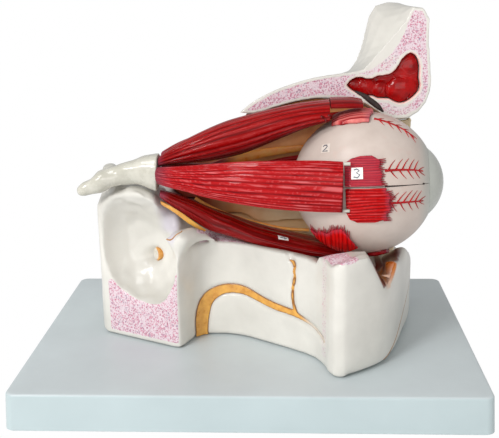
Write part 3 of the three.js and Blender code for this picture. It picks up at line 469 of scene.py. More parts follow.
CORNEA = two_toned(
    "clear_cornea", (10, 3), (190, 192, 184), (198, 200, 192), (0.03, 0.3), None, (6, 2),
    Roughness=0.22, Coat_Weight=0.3, Coat_Roughness=0.12, IOR=1.4, Transmission_Weight=0.12,
)
GEL = two_toned(
    "clear_gel", (12, 3), (226, 232, 232), (240, 244, 244), (0.04, 0.3),
    Roughness=0.04, IOR=1.34, Transmission_Weight=0.92,
)
IRIS = painted_iris()
COAT = painted_coat()
STEEL = two_toned(
    "brushed_steel", (0.5, 2), (168, 170, 173), (198, 200, 203), (0.02, 0.4), (0.24, 0.4),
    stretch=(1, 1, 6), Metallic=1.0,
)
RUBBER = two_toned("foot_rubber", (0.8, 3), (52, 53, 55), (74, 75, 77), (0.08, 0.6), (0.6, 0.8))
CARD = label_paper("label_card", (226, 226, 222), (244, 244, 240))
PALE_CARD = label_paper("pale_label_card", (212, 200, 190), (222, 210, 200))
INK = two_toned("label_ink", (0.4, 2), (52, 58, 76), (84, 90, 108), None, (0.45, 0.6))
SEAM = two_toned("seam_dark", (1.5, 2), (34, 26, 24), (64, 48, 44), None, (0.5, 0.7))


# Mesh building blocks


def new_piece(name, mesh, material, body, slot, *replaced, smooth=35):
    """A finished piece, from a mesh in millimetres or an object in metres."""
    if isinstance(mesh, bpy.types.Object):
        piece = mesh
        piece.name = name
    else:
        mesh.transform(Matrix.Scale(MM, 4))
        piece = linked(name, mesh)
    piece.data.materials.clear()
    piece.data.materials.append(material)
    piece.data.shade_smooth()
    if smooth:
        piece.data.set_sharp_from_angle(angle=math.radians(smooth))
    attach(piece, body)
    if replaced:
        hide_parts(*replaced)
    return piece


def mesh_of(work):
    """Ends the work on a bmesh and returns it as a mesh."""
    mesh = bpy.data.meshes.new("piece")
    work.to_mesh(mesh)
    work.free()
    return mesh


def clean(work):
    """Joins double points and turns the faces outwards."""
    bmesh.ops.remove_doubles(work, verts=work.verts, dist=1e-4)
    bmesh.ops.recalc_face_normals(work, faces=work.faces)


def skin_of(points, faces, **layers):
    """A new bmesh, with values painted on its points."""
    mesh = bpy.data.meshes.new("skin")
    mesh.from_pydata([tuple(p) for p in points], [], faces)
    paint_points(mesh, **layers)
    work = bmesh.new()
    work.from_mesh(mesh)
    return work


def mesh_from(points, faces):
    """A clean mesh from points in millimetres."""
    work = skin_of(points, faces)
    clean(work)
    return mesh_of(work)


def ring_faces(rows, columns, closed=True):
    """Quads between rows of points; each row is a ring when closed."""
    faces = []
    for row in range(rows - 1):
        for column in range(columns if closed else columns - 1):
            a = row * columns + column
            b = row * columns + (column + 1) % columns
            faces.append((a, b, b + columns, a + columns))
    return faces


def tube_mesh(rings):
    """A closed skin over rings of points, capped by fans."""
    columns = len(rings[0])
    points = [p for ring in rings for p in ring]
    faces = ring_faces(len(rings), columns)
    for ring, start in ((rings[0], 0), (rings[-1], (len(rings) - 1) * columns)):
        hub = len(points)
        points.append(sum((Vector(p) for p in ring), Vector()) / columns)
        for column in range(columns):
            faces.append((start + column, start + (column + 1) % columns, hub))
    return mesh_from(points, faces)


def turned_mesh(profile, sides=96):
    """A closed profile of (radius, forward) turned about the gaze, in the eyeball's own frame."""
    work = bmesh.new()
    rings = []
    for radius, forward in profile:
        if radius < 1e-6:
            rings.append([work.verts.new((forward, 0, 0))] * sides)
            continue
        ring = []
        for side in range(sides):
            angle = 2 * math.pi * side / sides
            ring.append(work.verts.new((forward, radius * math.cos(angle), radius * math.sin(angle))))
        rings.append(ring)
    for first, second in zip(rings, rings[1:]):
        for side in range(sides):
            nxt = (side + 1) % sides
            corners = [first[side], first[nxt], second[nxt], second[side]]
            kept = [v for i, v in enumerate(corners) if v not in corners[:i]]
            if len(kept) > 2:
                work.faces.new(kept)
    return work


def arc(middle, radius, start, end, steps):
    """Profile points on a circle about a point on the gaze, between two angles in degrees."""
    points = []
    for step in range(steps + 1):
        angle = math.radians(start + (end - start) * step / steps)
        points.append((max(0.0, radius * math.sin(angle)), middle + radius * math.cos(angle)))
    return points


def eye_mesh(work, half=0, **marks):
    """Closes a turned piece, cuts it at the seam if asked to, and moves it to the eyeball.

    "marks" are rules for its painted places, from a point in the eyeball's own frame.
    """
    clean(work)
    if half:
        cut = bmesh.ops.bisect_plane(
            work,
            geom=work.verts[:] + work.edges[:] + work.faces[:],
            plane_co=(0, 0, half * GAP / 2),
            plane_no=(0, 0, half),
            clear_inner=True,
        )
        edges = [item for item in cut["geom_cut"] if isinstance(item, bmesh.types.BMEdge)]
        bmesh.ops.triangle_fill(work, edges=edges, use_beauty=True)
        bmesh.ops.recalc_face_normals(work, faces=work.faces)
    mesh = mesh_of(work)
    for mark, rule in marks.items():
        paint_points(mesh, **{mark: [rule(v.co) for v in mesh.vertices]})
    mesh.transform(EYE_FRAME)
    return mesh


def paint_points(mesh, **layers):
    """Gives each point of a mesh one value per name, for the materials to read."""
    for name, values in layers.items():
        layer = mesh.attributes.get(name) or mesh.attributes.new(name, "FLOAT", "POINT")
        layer.data.foreach_set("value", np.asarray(values, dtype=np.float32))


def read_points(items, key):
    """One row of three numbers per item."""
    values = np.empty(len(items) * 3, dtype=np.float32)
    items.foreach_get(key, values)
    return values.reshape(-1, 3).astype(float)


def coordinates(mesh):
    return read_points(mesh.vertices, "co")


def point_normals(mesh):
    return read_points(mesh.vertex_normals, "vector")


def move_points(mesh, values):
    mesh.vertices.foreach_set("co", np.asarray(values, dtype=np.float32).ravel())
    mesh.update()


def ease(value, start, end):
    """0 before "start", 1 beyond "end", and a smooth rise between them."""
    share = np.clip((value - start) / (end - start), 0, 1)
    return share * share * (3 - 2 * share)


def applied(piece):
    """Turns the piece's modifiers into its mesh."""
    graph = bpy.context.evaluated_depsgraph_get()
    mesh = bpy.data.meshes.new_from_object(piece.evaluated_get(graph))
    piece.modifiers.clear()
    piece.data = mesh
    return piece


def softened(meshes, voxel, rounds):
    """One closed, evenly meshed body out of overlapping meshes in metres, with softened edges."""
    work = bmesh.new()
    for mesh in meshes:
        work.from_mesh(mesh)
    bmesh.ops.remove_doubles(work, verts=work.verts, dist=1e-6)
    piece = linked("joined", mesh_of(work))
    even = piece.modifiers.new("even", "REMESH")
    even.mode = "VOXEL"
    even.voxel_size = voxel * MM
    soft = piece.modifiers.new("soft", "SMOOTH")
    soft.factor = 0.5
    soft.iterations = rounds
    return applied(piece)


def soft_piece(name, node, voxel, rounds, material, slot, body="orbit", extra=()):
    """A soft body from a node's mesh and any extra ones. Returns its mesh, to be shaped and painted."""
    piece = softened([node_mesh(node), *extra], voxel, rounds)
    new_piece(name, piece, material, body, slot, node, smooth=0)
    return piece.data


def relaxed(mesh, weight, rounds):
    """Evens out a mesh: each point moves towards its neighbours, by its own weight or one for all."""
    points = coordinates(mesh)
    pairs = np.empty(len(mesh.edges) * 2, dtype=np.int32)
    mesh.edges.foreach_get("vertices", pairs)
    first, second = pairs.reshape(-1, 2).T
    total = len(points)
    count = np.maximum(np.bincount(first, minlength=total) + np.bincount(second, minlength=total), 1)
    weight = np.full(total, 0.5) * weight
    for _ in range(rounds):
        middle = np.empty_like(points)
        for axis in range(3):
            ends = points[:, axis]
            sums = np.bincount(first, ends[second], total) + np.bincount(second, ends[first], total)
            middle[:, axis] = sums / count
        points += weight[:, None] * (middle - points)
    move_points(mesh, points)


def distance_from(points, chosen):
    """Distance from each point to the nearest of the chosen points."""
    places = points[chosen]
    tree = KDTree(len(places))
    for index, place in enumerate(places):
        tree.insert(place, index)
    tree.balance()
    return np.array([tree.find(point)[2] for point in points])


def node_mesh(name):
    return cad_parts[name].data


def curve_through(points, steps):
    """Evenly spaced points on a smooth curve, with the other columns carried along."""
    points = np.asarray(points, dtype=float)
    padded = np.vstack([2 * points[0] - points[1], points, 2 * points[-1] - points[-2]])
    dense = []
    for i in range(len(points) - 1):
        p0, p1, p2, p3 = padded[i : i + 4]
        for t in np.linspace(0, 1, 24, endpoint=False):
            part = 2 * p1 + (p2 - p0) * t + (2 * p0 - 5 * p1 + 4 * p2 - p3) * t**2
            dense.append(0.5 * (part + (3 * p1 - p0 - 3 * p2 + p3) * t**3))
    dense.append(points[-1])
    dense = np.array(dense)
    run = lengths_along(dense)
    wanted = np.linspace(0, run[-1], steps)
    return np.stack([np.interp(wanted, run, column) for column in dense.T], axis=1)


def lengths_along(line):
    """How far along the line each of its points lies."""
    return np.concatenate([[0], np.cumsum(np.linalg.norm(np.diff(line[:, :3], axis=0), axis=1))])


def geometry_tree(name, sockets):
    """An empty tree of geometry nodes with its inputs: the mesh, and others as {name: kind}."""
    tree = bpy.data.node_groups.new(name, "GeometryNodeTree")
    tree.interface.new_socket("Geometry", in_out="OUTPUT", socket_type="NodeSocketGeometry")
    for label, kind in {"Geometry": "Geometry", **sockets}.items():
        tree.interface.new_socket(label, in_out="INPUT", socket_type="NodeSocket" + kind)
    return tree, add_node(tree, "NodeGroupInput")


def end_tree(tree, shape, material):
    """Gives out the shape as real mesh in one material."""
    real = add_node(tree, "GeometryNodeRealizeInstances", i0=shape)[0]
    finish = add_node(tree, "GeometryNodeSetMaterial", Geometry=real, Material=material)[0]
    add_node(tree, "NodeGroupOutput", i0=finish)


def grown(name, mesh, tree, values):
    """An object whose mesh a tree of geometry nodes has made, with the tree's inputs set by name."""
    piece = linked(name, mesh)
    modifier = piece.modifiers.new("grow", "NODES")
    modifier.node_group = tree
    for socket in tree.interface.items_tree:
        if socket.in_out == "INPUT" and socket.name in values:
            modifier[socket.identifier] = values[socket.name]
    return applied(piece)


def stroke_tree(name, material):
    """Geometry nodes that turn lines of edges into round strokes, as thick as each point says."""
    tree, source = geometry_tree(name, {"Sides": "Int"})
    thick = add_node(tree, "GeometryNodeInputNamedAttribute", Name="thick")["Attribute"]
    curve = add_node(tree, "GeometryNodeMeshToCurve", Mesh=source["Geometry"])[0]
    ring = add_node(tree, "GeometryNodeCurvePrimitiveCircle", Radius=1.0, Resolution=source["Sides"])[0]
    parts = {"Curve": curve, "Profile Curve": ring, "Scale": thick, "Fill Caps": True}
    end_tree(tree, add_node(tree, "GeometryNodeCurveToMesh", **parts)[0], material)
    return tree


def strokes(name, lines, material, body, slot, sides=8):
    """Round strands and painted lines: each line is a list of (point, radius) in millimetres."""
    points, edges, thick = [], [], []
    for line in lines:
        start = len(points)
        for place, radius in line:
            points.append(Vector(place) * MM)
            thick.append(radius * MM)
        edges += [(i, i + 1) for i in range(start, len(points) - 1)]
    mesh = bpy.data.meshes.new(name)
    mesh.from_pydata([tuple(p) for p in points], edges, [])
    paint_points(mesh, thick=thick)
    piece = grown(name, mesh, stroke_tree(name + "_strokes", material), {"Sides": sides})
    new_piece(name, piece, material, body, slot, smooth=60)


def tapered(places, start, end):
    """A stroke's line whose radius changes evenly from "start" to "end"."""
    return [(Vector(p), start + (end - start) * i / (len(places) - 1)) for i, p in enumerate(places)]


# Base, feet and screws

ROUNDING_STEPS = 6
FLARE_EDGE = 0.3
TOP_INSET = 8
POST_WALL = 1
POST_MOUTH = 0.6
RIM_STEP = 0.4
SCREW_HEAD = 2.5
# A screw as stacked cylinders, the lowest first: label, radius, height
SCREW = [("crown", 3.4, 0.5), ("head", 4, 2.0), ("shank", 2, 13.6)]


def rounded_rectangle(length, width, corner, steps=8):
    """Corners of an outline in plan, with "steps" pieces round each corner."""
    outline = []
    for side_x, side_y, start in ((1, 1, 0), (-1, 1, 90), (-1, -1, 180), (1, -1, 270)):
        for step in range(steps + 1):
            angle = math.radians(start + 90 * step / steps)
            x = side_x * (length / 2 - corner) + corner * math.cos(angle)
            outline.append((x, side_y * (width / 2 - corner) + corner * math.sin(angle)))
    return outline


def make_base():
    """The base as one skin, from under its plate, round the flared foot and over the rounded edge."""
    rings = []

    def ring(inset, z, corner=BASE_CORNER):
        outline = rounded_rectangle(BASE_LENGTH - 2 * inset, BASE_WIDTH - 2 * inset, corner)
        rings.append([(x, y, z) for x, y in outline])

    ring(BASE_WALL, BASE_TOP - BASE_PLATE, BASE_CORNER - 1)
    ring(BASE_WALL, BASE_BOTTOM, BASE_CORNER - 1)
    ring(-BASE_FLARE + FLARE_EDGE, BASE_BOTTOM)
    ring(-BASE_FLARE, BASE_BOTTOM + FLARE_EDGE)
    for step in range(ROUNDING_STEPS + 1):
        angle = math.radians(90 * step / ROUNDING_STEPS)
        ring(BASE_EDGE * (1 - math.cos(angle)), BASE_TOP - BASE_EDGE * (1 - math.sin(angle)))
    ring(TOP_INSET, BASE_TOP)
    new_piece("base", tube_mesh(rings), BOARD, "orbit", "board_grey", "base_tray", smooth=30)


def post_tree(name, labels, material):
    """Geometry nodes that stand one turned post on every point: a stack of cylinders."""
    sizes = [f"{label} {size}" for label in labels for size in ("radius", "height")]
    tree, source = geometry_tree(name, dict.fromkeys(sizes, "Float"))
    stack = tree.nodes.new("GeometryNodeJoinGeometry")
    lift = 0.0
    for label in labels:
        radius, height = source[label + " radius"], source[label + " height"]
        drum = add_node(tree, "GeometryNodeMeshCylinder", Vertices=32, Radius=radius, Depth=height)["Mesh"]
        half = add_node(tree, "ShaderNodeMath", {"operation": "MULTIPLY_ADD"}, i0=height, i1=0.5, i2=lift)[0]
        rise = add_node(tree, "ShaderNodeCombineXYZ", Z=half)[0]
        place = add_node(tree, "GeometryNodeTransform", Geometry=drum, Translation=rise)[0]
        tree.links.new(place, stack.inputs[0])
        lift = add_node(tree, "ShaderNodeMath", i0=height, i1=lift)[0]
    stand = {"Points": source["Geometry"], "Instance": stack.outputs[0]}
    end_tree(tree, add_node(tree, "GeometryNodeInstanceOnPoints", **stand)[0], material)
    return tree


def stand_posts(name, places, z, profile, material, slot, replaced):
    """One turned post on each place, from a profile of (label, radius, height), the lowest first."""
    points = bpy.data.meshes.new(name)
    points.from_pydata([(x * MM, y * MM, z * MM) for x, y in places], [], [])
    sizes = {}
    for label, radius, height in profile:
        sizes[label + " radius"] = radius * MM
        sizes[label + " height"] = height * MM
    labels = [label for label, _, _ in profile]
    piece = grown(name, points, post_tree(name + "_posts", labels, material), sizes)
    new_piece(name, piece, material, "orbit", slot, *replaced, smooth=40)


def make_feet_and_screws():
    reach_x = BASE_LENGTH / 2 - FOOT_INSET
    reach_y = BASE_WIDTH / 2 - FOOT_INSET
    corners = [(sx * reach_x, sy * reach_y) for sx, sy in ((-1, -1), (1, -1), (1, 1), (-1, 1))]
    seat = FOOT_THICKNESS + GAP
    post_height = BASE_TOP - BASE_EDGE - seat
    post = [("mouth", FOOT_RADIUS + POST_MOUTH, 0.5), ("post", FOOT_RADIUS + POST_WALL, post_height)]
    stand_posts("corner_posts", corners, seat, post, BOARD, "board_grey", [])
    feet = [("rim", FOOT_RADIUS - RIM_STEP, RIM_STEP), ("body", FOOT_RADIUS, FOOT_THICKNESS - RIM_STEP)]
    names = [f"rubber_foot_{i}" for i in range(1, 5)]
    stand_posts("feet", corners, 0, feet, RUBBER, "rubber_grey", names)
    head_bottom = BASE_TOP - BASE_PLATE - GAP - SCREW_HEAD
    names = [f"bone_screw_{i}" for i in range(1, 5)]
    stand_posts("screws", SCREW_PLACES, head_bottom, SCREW, STEEL, "steel", names)


# Bones

# The bone block's outer face, in plan: where it starts, the way along it and the way into the block
FACE_START = np.array([-85.0, -11.5])
FACE_ALONG = np.array([45.0, -22.4]) / math.hypot(45.0, 22.4)
FACE_INWARD = np.array([-FACE_ALONG[1], FACE_ALONG[0]])
# Upper edge of the scoop that holds the eyeball, in plan
SCOOP = [
    (-42, -32.4), (-38.2, -26), (-34.8, -17), (-29, -12.2), (-21, -11), (-12, -12), (-4, -15), (12, -25.6),
    (27, -36), (37, -45), (41.8, -55), (44.5, -65), (49.3, -70.4),
]
# Edge of the notch for the nerves beside the muscles' origin, seen from the outer side: (x, z)
NOTCH_EDGE = [
    (-50.6, 94.1), (-49.3, 91.1), (-47.4, 89.9), (-45.6, 90.4), (-44.2, 91.8), (-42.1, 95.7), (-40.1, 99.6),
    (-38.2, 102.2),
]
# The lip over the front corner: heights of its front and back edges along x
LIP_FRONT = [(40, 83), (44.3, 84.6), (52.2, 87), (60, 89.6)]
LIP_BACK = [(38, 84.6), (46, 86.8), (56, 88.4)]
# Ridge that runs from the outer face's upper corner along the scoop: (x, y, z, radius)
RIDGE = [(-39.5, -27, 88.5, 7), (-34.5, -21.5, 89.5, 6.4), (-29, -16.5, 88, 5.2), (-23, -13.5, 84.4, 3)]
# The horn rises by this height, and no nearer to the eyeball's middle than this room
HORN_HEIGHT = 4
HORN_ROOM = 42.8
# Lumps in the hollow: how high they stand, and how far they lie apart
LUMP_HEIGHT = 1.3
LUMP_SIZE = 8
BLOCK_VOXEL = 1.06


def edge_away(points):
    """How far a point lies from the scoop's upper edge, in plan."""
    best = np.full(len(points), 1e9)
    plan = points[:, :2]
    corners = np.array(SCOOP)
    for a, b in zip(corners, corners[1:]):
        run = b - a
        share = np.clip(((plan - a) @ run) / (run @ run), 0, 1)
        best = np.minimum(best, np.linalg.norm(plan - (a + share[:, None] * run), axis=1))
    return best


def face_ways(points):
    """Where points lie against the outer face: behind it, and along it."""
    plan = points[:, :2] - FACE_START
    return plan @ FACE_INWARD, plan @ FACE_ALONG


def within(value, low, high, edge):
    """1 between two limits, with soft edges."""
    return ease(value, low - edge, low) * ease(high + edge - value, 0, edge)


def in_hollow(depth, along, z):
    """1 in the hollow behind the outer face."""
    return ease(depth, 0.6, 2.5) * ease(46 - along, 0, 3) * ease(z, 46, 50)


def ball_mesh(x, y, z, radius):
    """A ball told in millimetres, as a mesh in metres."""
    work = bmesh.new()
    place = Matrix.Translation(Vector((x, y, z)) * MM)
    bmesh.ops.create_icosphere(work, subdivisions=3, radius=radius * MM, matrix=place)
    return mesh_of(work)


def shape_block(points, normals):
    """Raises the lip at the front corner and the horn under the eyeball, and sets lumps in the hollow."""
    x, y, z = points.T
    front = np.interp(x, *zip(*LIP_FRONT))
    behind = np.interp(x, *zip(*LIP_BACK))
    wanted = front + (behind - front) * np.clip((y + 66) / 12, 0, 1)
    lip = ease(x, 35, 38) * ease(65.5 - x, 0, 1) * ease(-45 - y, 0, 3)
    lip *= (normals[:, 2] > 0.15) * (z > 70)
    points[:, 2] += lip * np.clip(wanted - z, 0, None)
    below = HORN_ROOM**2 - (x - EYE_CENTRE.x) ** 2 - (y - EYE_CENTRE.y) ** 2
    under_ball = EYE_CENTRE.z - np.sqrt(np.clip(below, 0, None))
    horn = HORN_HEIGHT * within(x, 87, 96, 4) * within(y, -42, 4, 10) * ease(z, 70, 80)
    points[:, 2] = np.minimum(points[:, 2] + horn, np.maximum(under_ball, points[:, 2]))
    depth, along = face_ways(points)
    hollow = in_hollow(depth, along, z) * ease(30 - depth, 0, 4) * ease(along, 1, 4)
    lumps = np.array([noise.noise(Vector(p) / LUMP_SIZE) if h > 0 else 0 for p, h in zip(points, hollow)])
    return points + normals * (LUMP_HEIGHT * hollow * lumps)[:, None]


def paint_block(mesh):
    """Marks the sawn edges as cut, the tan and ochre places, and painted shade in lilac and maroon on the
    bone block.
    """
    points = coordinates(mesh) / MM
    normals = point_normals(mesh)
    x, y, z = points.T
    depth, along = face_ways(points)
    facing = -(normals[:, :2] @ FACE_INWARD)
    sawn = ease(facing, 0.7, 0.9) * ease(1.3 - np.abs(depth), 0, 0.6)
    sawn *= ease(z, 24.5, 27) * within(along, -1.5, 47.5, 2)
    below = ease(66 - z - 0.2 * np.abs(along - 24), 0, 5)
    right = ease(along, 42, 46) * ease(80 - z, 0, 5)
    left = 0.62 * ease(-0.5 - along, 0, 2) * ease(98 - z, 0, 8)
    sawn *= np.maximum.reduce([below, right, left])
    edge = edge_away(points)
    top = ease(normals[:, 2], 0.3, 0.6) * ease(edge, 0.6, 2.2) * ease(15 - edge, 0, 4)
    back = within(x, -29, -4, 4)
    middle = within(x, 28, 58, 3) * (y < -44)
    post = 0.47 * within(x, 41, 42.6, 1.4) * (y < -50) * ease(z, 24, 30)
    paint_points(mesh, cut=np.maximum.reduce([sawn, top * np.maximum(back, middle), post]))

    # Painted shade in the pit: a lilac grey.
    pit = ease(-41 - x, 0, 4) * ease(x, -58, -50) * ease(z, 84, 90) * (y > -31) * (y < 2)
    paint_points(mesh, lilac=0.8 * pit)
    paint_points(mesh, tan=within(x, -28, 52, 4) * within(y, 3, 40, 3) * ease(z, 74, 78))

    inward = np.clip((y + 62) / 52, 0, 1)
    wide = np.interp(z, [68.4, 80, 99], [78, 92, 112])
    narrow = np.interp(z, [63.5, 80, 99], [75, 77, 79])
    notch = ease(2.4 - np.abs(x - wide - (narrow - wide) * inward), 0, 1.2) * (z > 68 - 5 * inward)
    notch *= 1 - ease(-normals[:, 1], 0.9, 0.97)
    # Far into the notch the ochre gives way to painted shade.
    deep = ease(y, -23, -17)
    paint_points(mesh, ochre=notch * ease(y, -52, -38) * (1 - deep))

    # Painted shade in dark red: under the eyeball, on the notch's left face, far into the notch and on the
    # inner side.
    under_eye = ease(x, 44, 56) * (y < 36) * ease(92 - x, 0, 6) * ease(y, -34, -24)
    under_eye *= (normals[:, 2] > -0.2) * ease(0.6 - normals[:, 0], 0, 0.3) * (z > 70)
    wide = np.interp(z, [69.2, 97], [76.3, 62.5])
    narrow = np.interp(z, [64, 97], [73, 62.5])
    left_side = ease(1.6 - np.abs(x - wide - (narrow - wide) * inward), 0, 0.8)
    left_side *= (y < -8) * ease(y, -61, -58) * (z > 69.4 - 5.2 * inward)
    inner_side = 0.9 * ease(-8 - x, 0, 24) * ease(x, -56, -50)
    inner_side *= within(y, 6, 40, 3) * ease(z, 74, 78)
    maroon = np.maximum.reduce([under_eye, left_side, notch * deep, inner_side])
    paint_points(mesh, maroon=maroon * ease(z, 58, 64))


def make_bone_block():
    """The bone block, smoothed most where its forms flow into each other, then shaped and painted."""
    balls = [ball_mesh(*ball) for ball in RIDGE]
    mesh = soft_piece("bone", "bone_block", BLOCK_VOXEL, 2, BONE, "bone_white", extra=balls)
    points = coordinates(mesh) / MM
    x, y, z = points.T
    depth, along = face_ways(points)
    brow = ease(z, 96, 104) * ease(38 - along, 0, 6)
    brow = np.maximum(brow, ease(z, 78, 86) * ease(12 - along, 0, 6))
    flowing = np.maximum(in_hollow(depth, along, z), brow) * ease(40 - depth, 0, 6)
    saddle = within(x, -52, -22, 3) * within(y, -40, -11, 3) * ease(z, 74, 80)
    inside = ease(edge_away(points), 3, 6) * (x > -40)
    corner = ease(x, 84, 90) * ease(z, 60, 66)
    relaxed(mesh, np.maximum.reduce([flowing, saddle, inside, corner, np.full(len(x), 0.12)]), 44)
    relaxed(mesh, saddle, 40)
    move_points(mesh, shape_block(coordinates(mesh) / MM, point_normals(mesh)) * MM)
    relaxed(mesh, 0.5, 3)
    paint_block(mesh)


def make_frontal_bone():
    """The roof of the orbit, speckled on its sawn face and red round the sinus."""
    mesh = soft_piece("forehead_bone", "frontal_bone", 0.8, 3, BONE, "bone_white")
    points = coordinates(mesh) / MM
    normals = point_normals(mesh)
    x, y, z = points.T
    flat = (normals[:, 1] < -0.75) & (y < ROOF_CUT_Y + 0.6)
    margin = distance_from(points, ~flat & (y < ROOF_CUT_Y + 6))
    hole = (y > ROOF_CUT_Y + 1.5) & (y < ROOF_CUT_Y + 8)
    hole &= (x > 56) & (x < 102) & (z > 157.5) & (z < 190)
    hole &= (80 - x) * normals[:, 0] + (168 - z) * normals[:, 2] > 0
    ring = distance_from(points, hole)
    calm = ease(x, 62, 70) * ease(100 - x, 0, 4) * ease(196 - z, 0, 10)
    paint_points(mesh, cut=ease(margin, 1.0, 2.2) * flat * (1 - 0.46 * calm))
    paint_points(mesh, rim=ease(2.4 - ring, 0, 0.9) * (y < ROOF_CUT_Y + 1.5))


# Swellings of the sinus lining: (x, z, radius, how far it stands out)
SINUS_LOBES = [
    (61.5, 169.5, 5, 2.2), (68.5, 168.4, 6.4, 3), (77.6, 166.8, 5.6, 3), (90.6, 166.4, 9.5, 3.4),
    (94, 178, 9, 1.6),
]
# How far behind the sawn face the lining lies between them
SINUS_DEPTH = 3.6


def make_sinus_lining():
    mesh = soft_piece("sinus_lining", "frontal_sinus_lining", 0.5, 2, SINUS, "sinus_red")
    points = coordinates(mesh) / MM
    x, y, z = points.T
    front = ease(-point_normals(mesh)[:, 1], -0.2, 0.4) * (y < ROOF_CUT_Y + 8.5)
    swell = np.zeros(len(points))
    for lobe_x, lobe_z, radius, height in SINUS_LOBES:
        share = np.hypot(x - lobe_x, z - lobe_z) / radius
        swell = np.maximum(swell, height * np.sqrt(np.clip(1 - share**2, 0, 1)))
    points[:, 1] += front * (ROOF_CUT_Y + SINUS_DEPTH - swell - y)
    move_points(mesh, points * MM)
    relaxed(mesh, 1, 5)


def make_inner_wall():
    """The inner wall: painted light below, painted shade far in, spotted under the brow and plain bone at
    its back.
    """
    mesh = soft_piece("inner_bone_wall", "inner_wall", 1.0, 4, WALL, "wall_tan")
    x, y, z = coordinates(mesh).T / MM
    above = ease(z, 128, 136)
    paint_points(mesh, back=ease(y, 43, 47))
    # Painted light low on the wall, and painted shade far in.
    paint_points(mesh, low=ease(122 - z, 0, 16) * ease(x, -14, 14))
    paint_points(mesh, deep=0.95 * ease(2 + 14 * above - x, 0, 38) * ease(z, 72, 90))
    paint_points(mesh, brow=ease(x, 80, 86) * ease(z, 132, 138))


# Muscles: stations of (x, y, z, half width, half thickness, droop of the edges)

LATERAL = [
    (APEX_X + GAP, APEX_Y - 8, 125.5, 4.8, 3, 0), (-44.6, -28, 125.8, 5.9, 3.8, 0),
    (-32.8, -35, 126.4, 7.5, 4.4, 0), (-21.7, -40, 126.4, 9.4, 4.6, 0), (-3.9, -46, 126.6, 11.8, 4.4, 0),
    (16.7, -50.5, 126.4, 13.3, 4, 0), (36.9, -52.3, 125.8, 14.1, 3.4, 1.5), (51.4, -52.6, 124.9, 14, 3, 3),
]
SUPERIOR = [
    (APEX_X + GAP, APEX_Y - 1, 131.8, 5.2, 2.4, 0), (-46.5, -15, 134.2, 7, 4, 0),
    (-35.3, -14.4, 137.8, 9.5, 6.6, 0), (-24.2, -13.4, 140.9, 11.5, 8.6, 0),
    (-13.2, -12.4, 144.1, 13, 9.8, 0), (-2.1, -11.4, 147.4, 14, 9.8, 0.5),
    (16.3, -10.4, 153.4, 15, 8.2, 1.2), (30.8, -10, 157.8, 15.5, 6.6, 2), (45.5, -10, 161.2, 15.5, 4.8, 3),
]
LID_LIFTER = [
    (46, -9.5, 164.8, 12, 2.3, 1.2), (52, -9.5, 165, 12, 2.3, 1.4), (58.5, -9.3, 164.9, 11.5, 2.2, 1.4),
    (64, -9, 164.4, 10.5, 1.6, 1.2),
]
INFERIOR = [
    (APEX_X + GAP, APEX_Y, 112.9, 4.2, 2.2, 0), (-40.6, -12, 106, 7, 4.4, 0),
    (-25.4, -7, 95.8, 9.5, 6.2, 0), (-14.3, -5, 91.4, 11, 5.8, 0), (-3, -4, 87.1, 12, 5.2, 0),
    (8.3, -4, 83.6, 13, 4.9, 0), (23.3, -4, 80, 14, 4.5, 0), (38, -5, 77.4, 14, 3.8, 0),
    (50, -6, 75.7, 13, 2.6, 0), (60, -7, 74, 12, 1.9, 0),
]
MEDIAL = [
    (APEX_X + GAP, APEX_Y + 8.5, 123.5, 4.6, 2.5, 0), (-40, 1, 122, 5.4, 3.8, 0),
    (-22, 13, 119, 5.5, 4.8, 0), (0, 23.5, 116.4, 5.8, 4.4, 0), (22, 29, 116.8, 8.4, 3.6, 0),
    (40, 31.2, 117.4, 9.8, 3, 0), (48, 31.7, 117.2, 9.8, 2.5, 0),
]
OBLIQUE = [
    (APEX_X + GAP, APEX_Y + 9, 133, 2.6, 2.2, 0), (-38, 3, 138, 4.4, 3.4, 0), (-14, 17, 143, 5.5, 4, 0),
    (14, 26, 146, 5, 3.6, 0), (38, 29.5, 149, 3.6, 2.6, 0), (56, 30, 151.6, 2, 1.6, 0),
    (67, 29, 153.4, 1.6, 1.6, 0),
]
OUTER_FACE = Vector((0, -1, 0))
TOP_FACE = Vector((0, 0, 1))
# Powers that shape a strap's section and the crests of its bundles
SQUARENESS = 0.8
CREST_SHARPNESS = 2.2
# How far towards the middle the rounding of a strap's ends reaches
CAP_RIM = 0.12


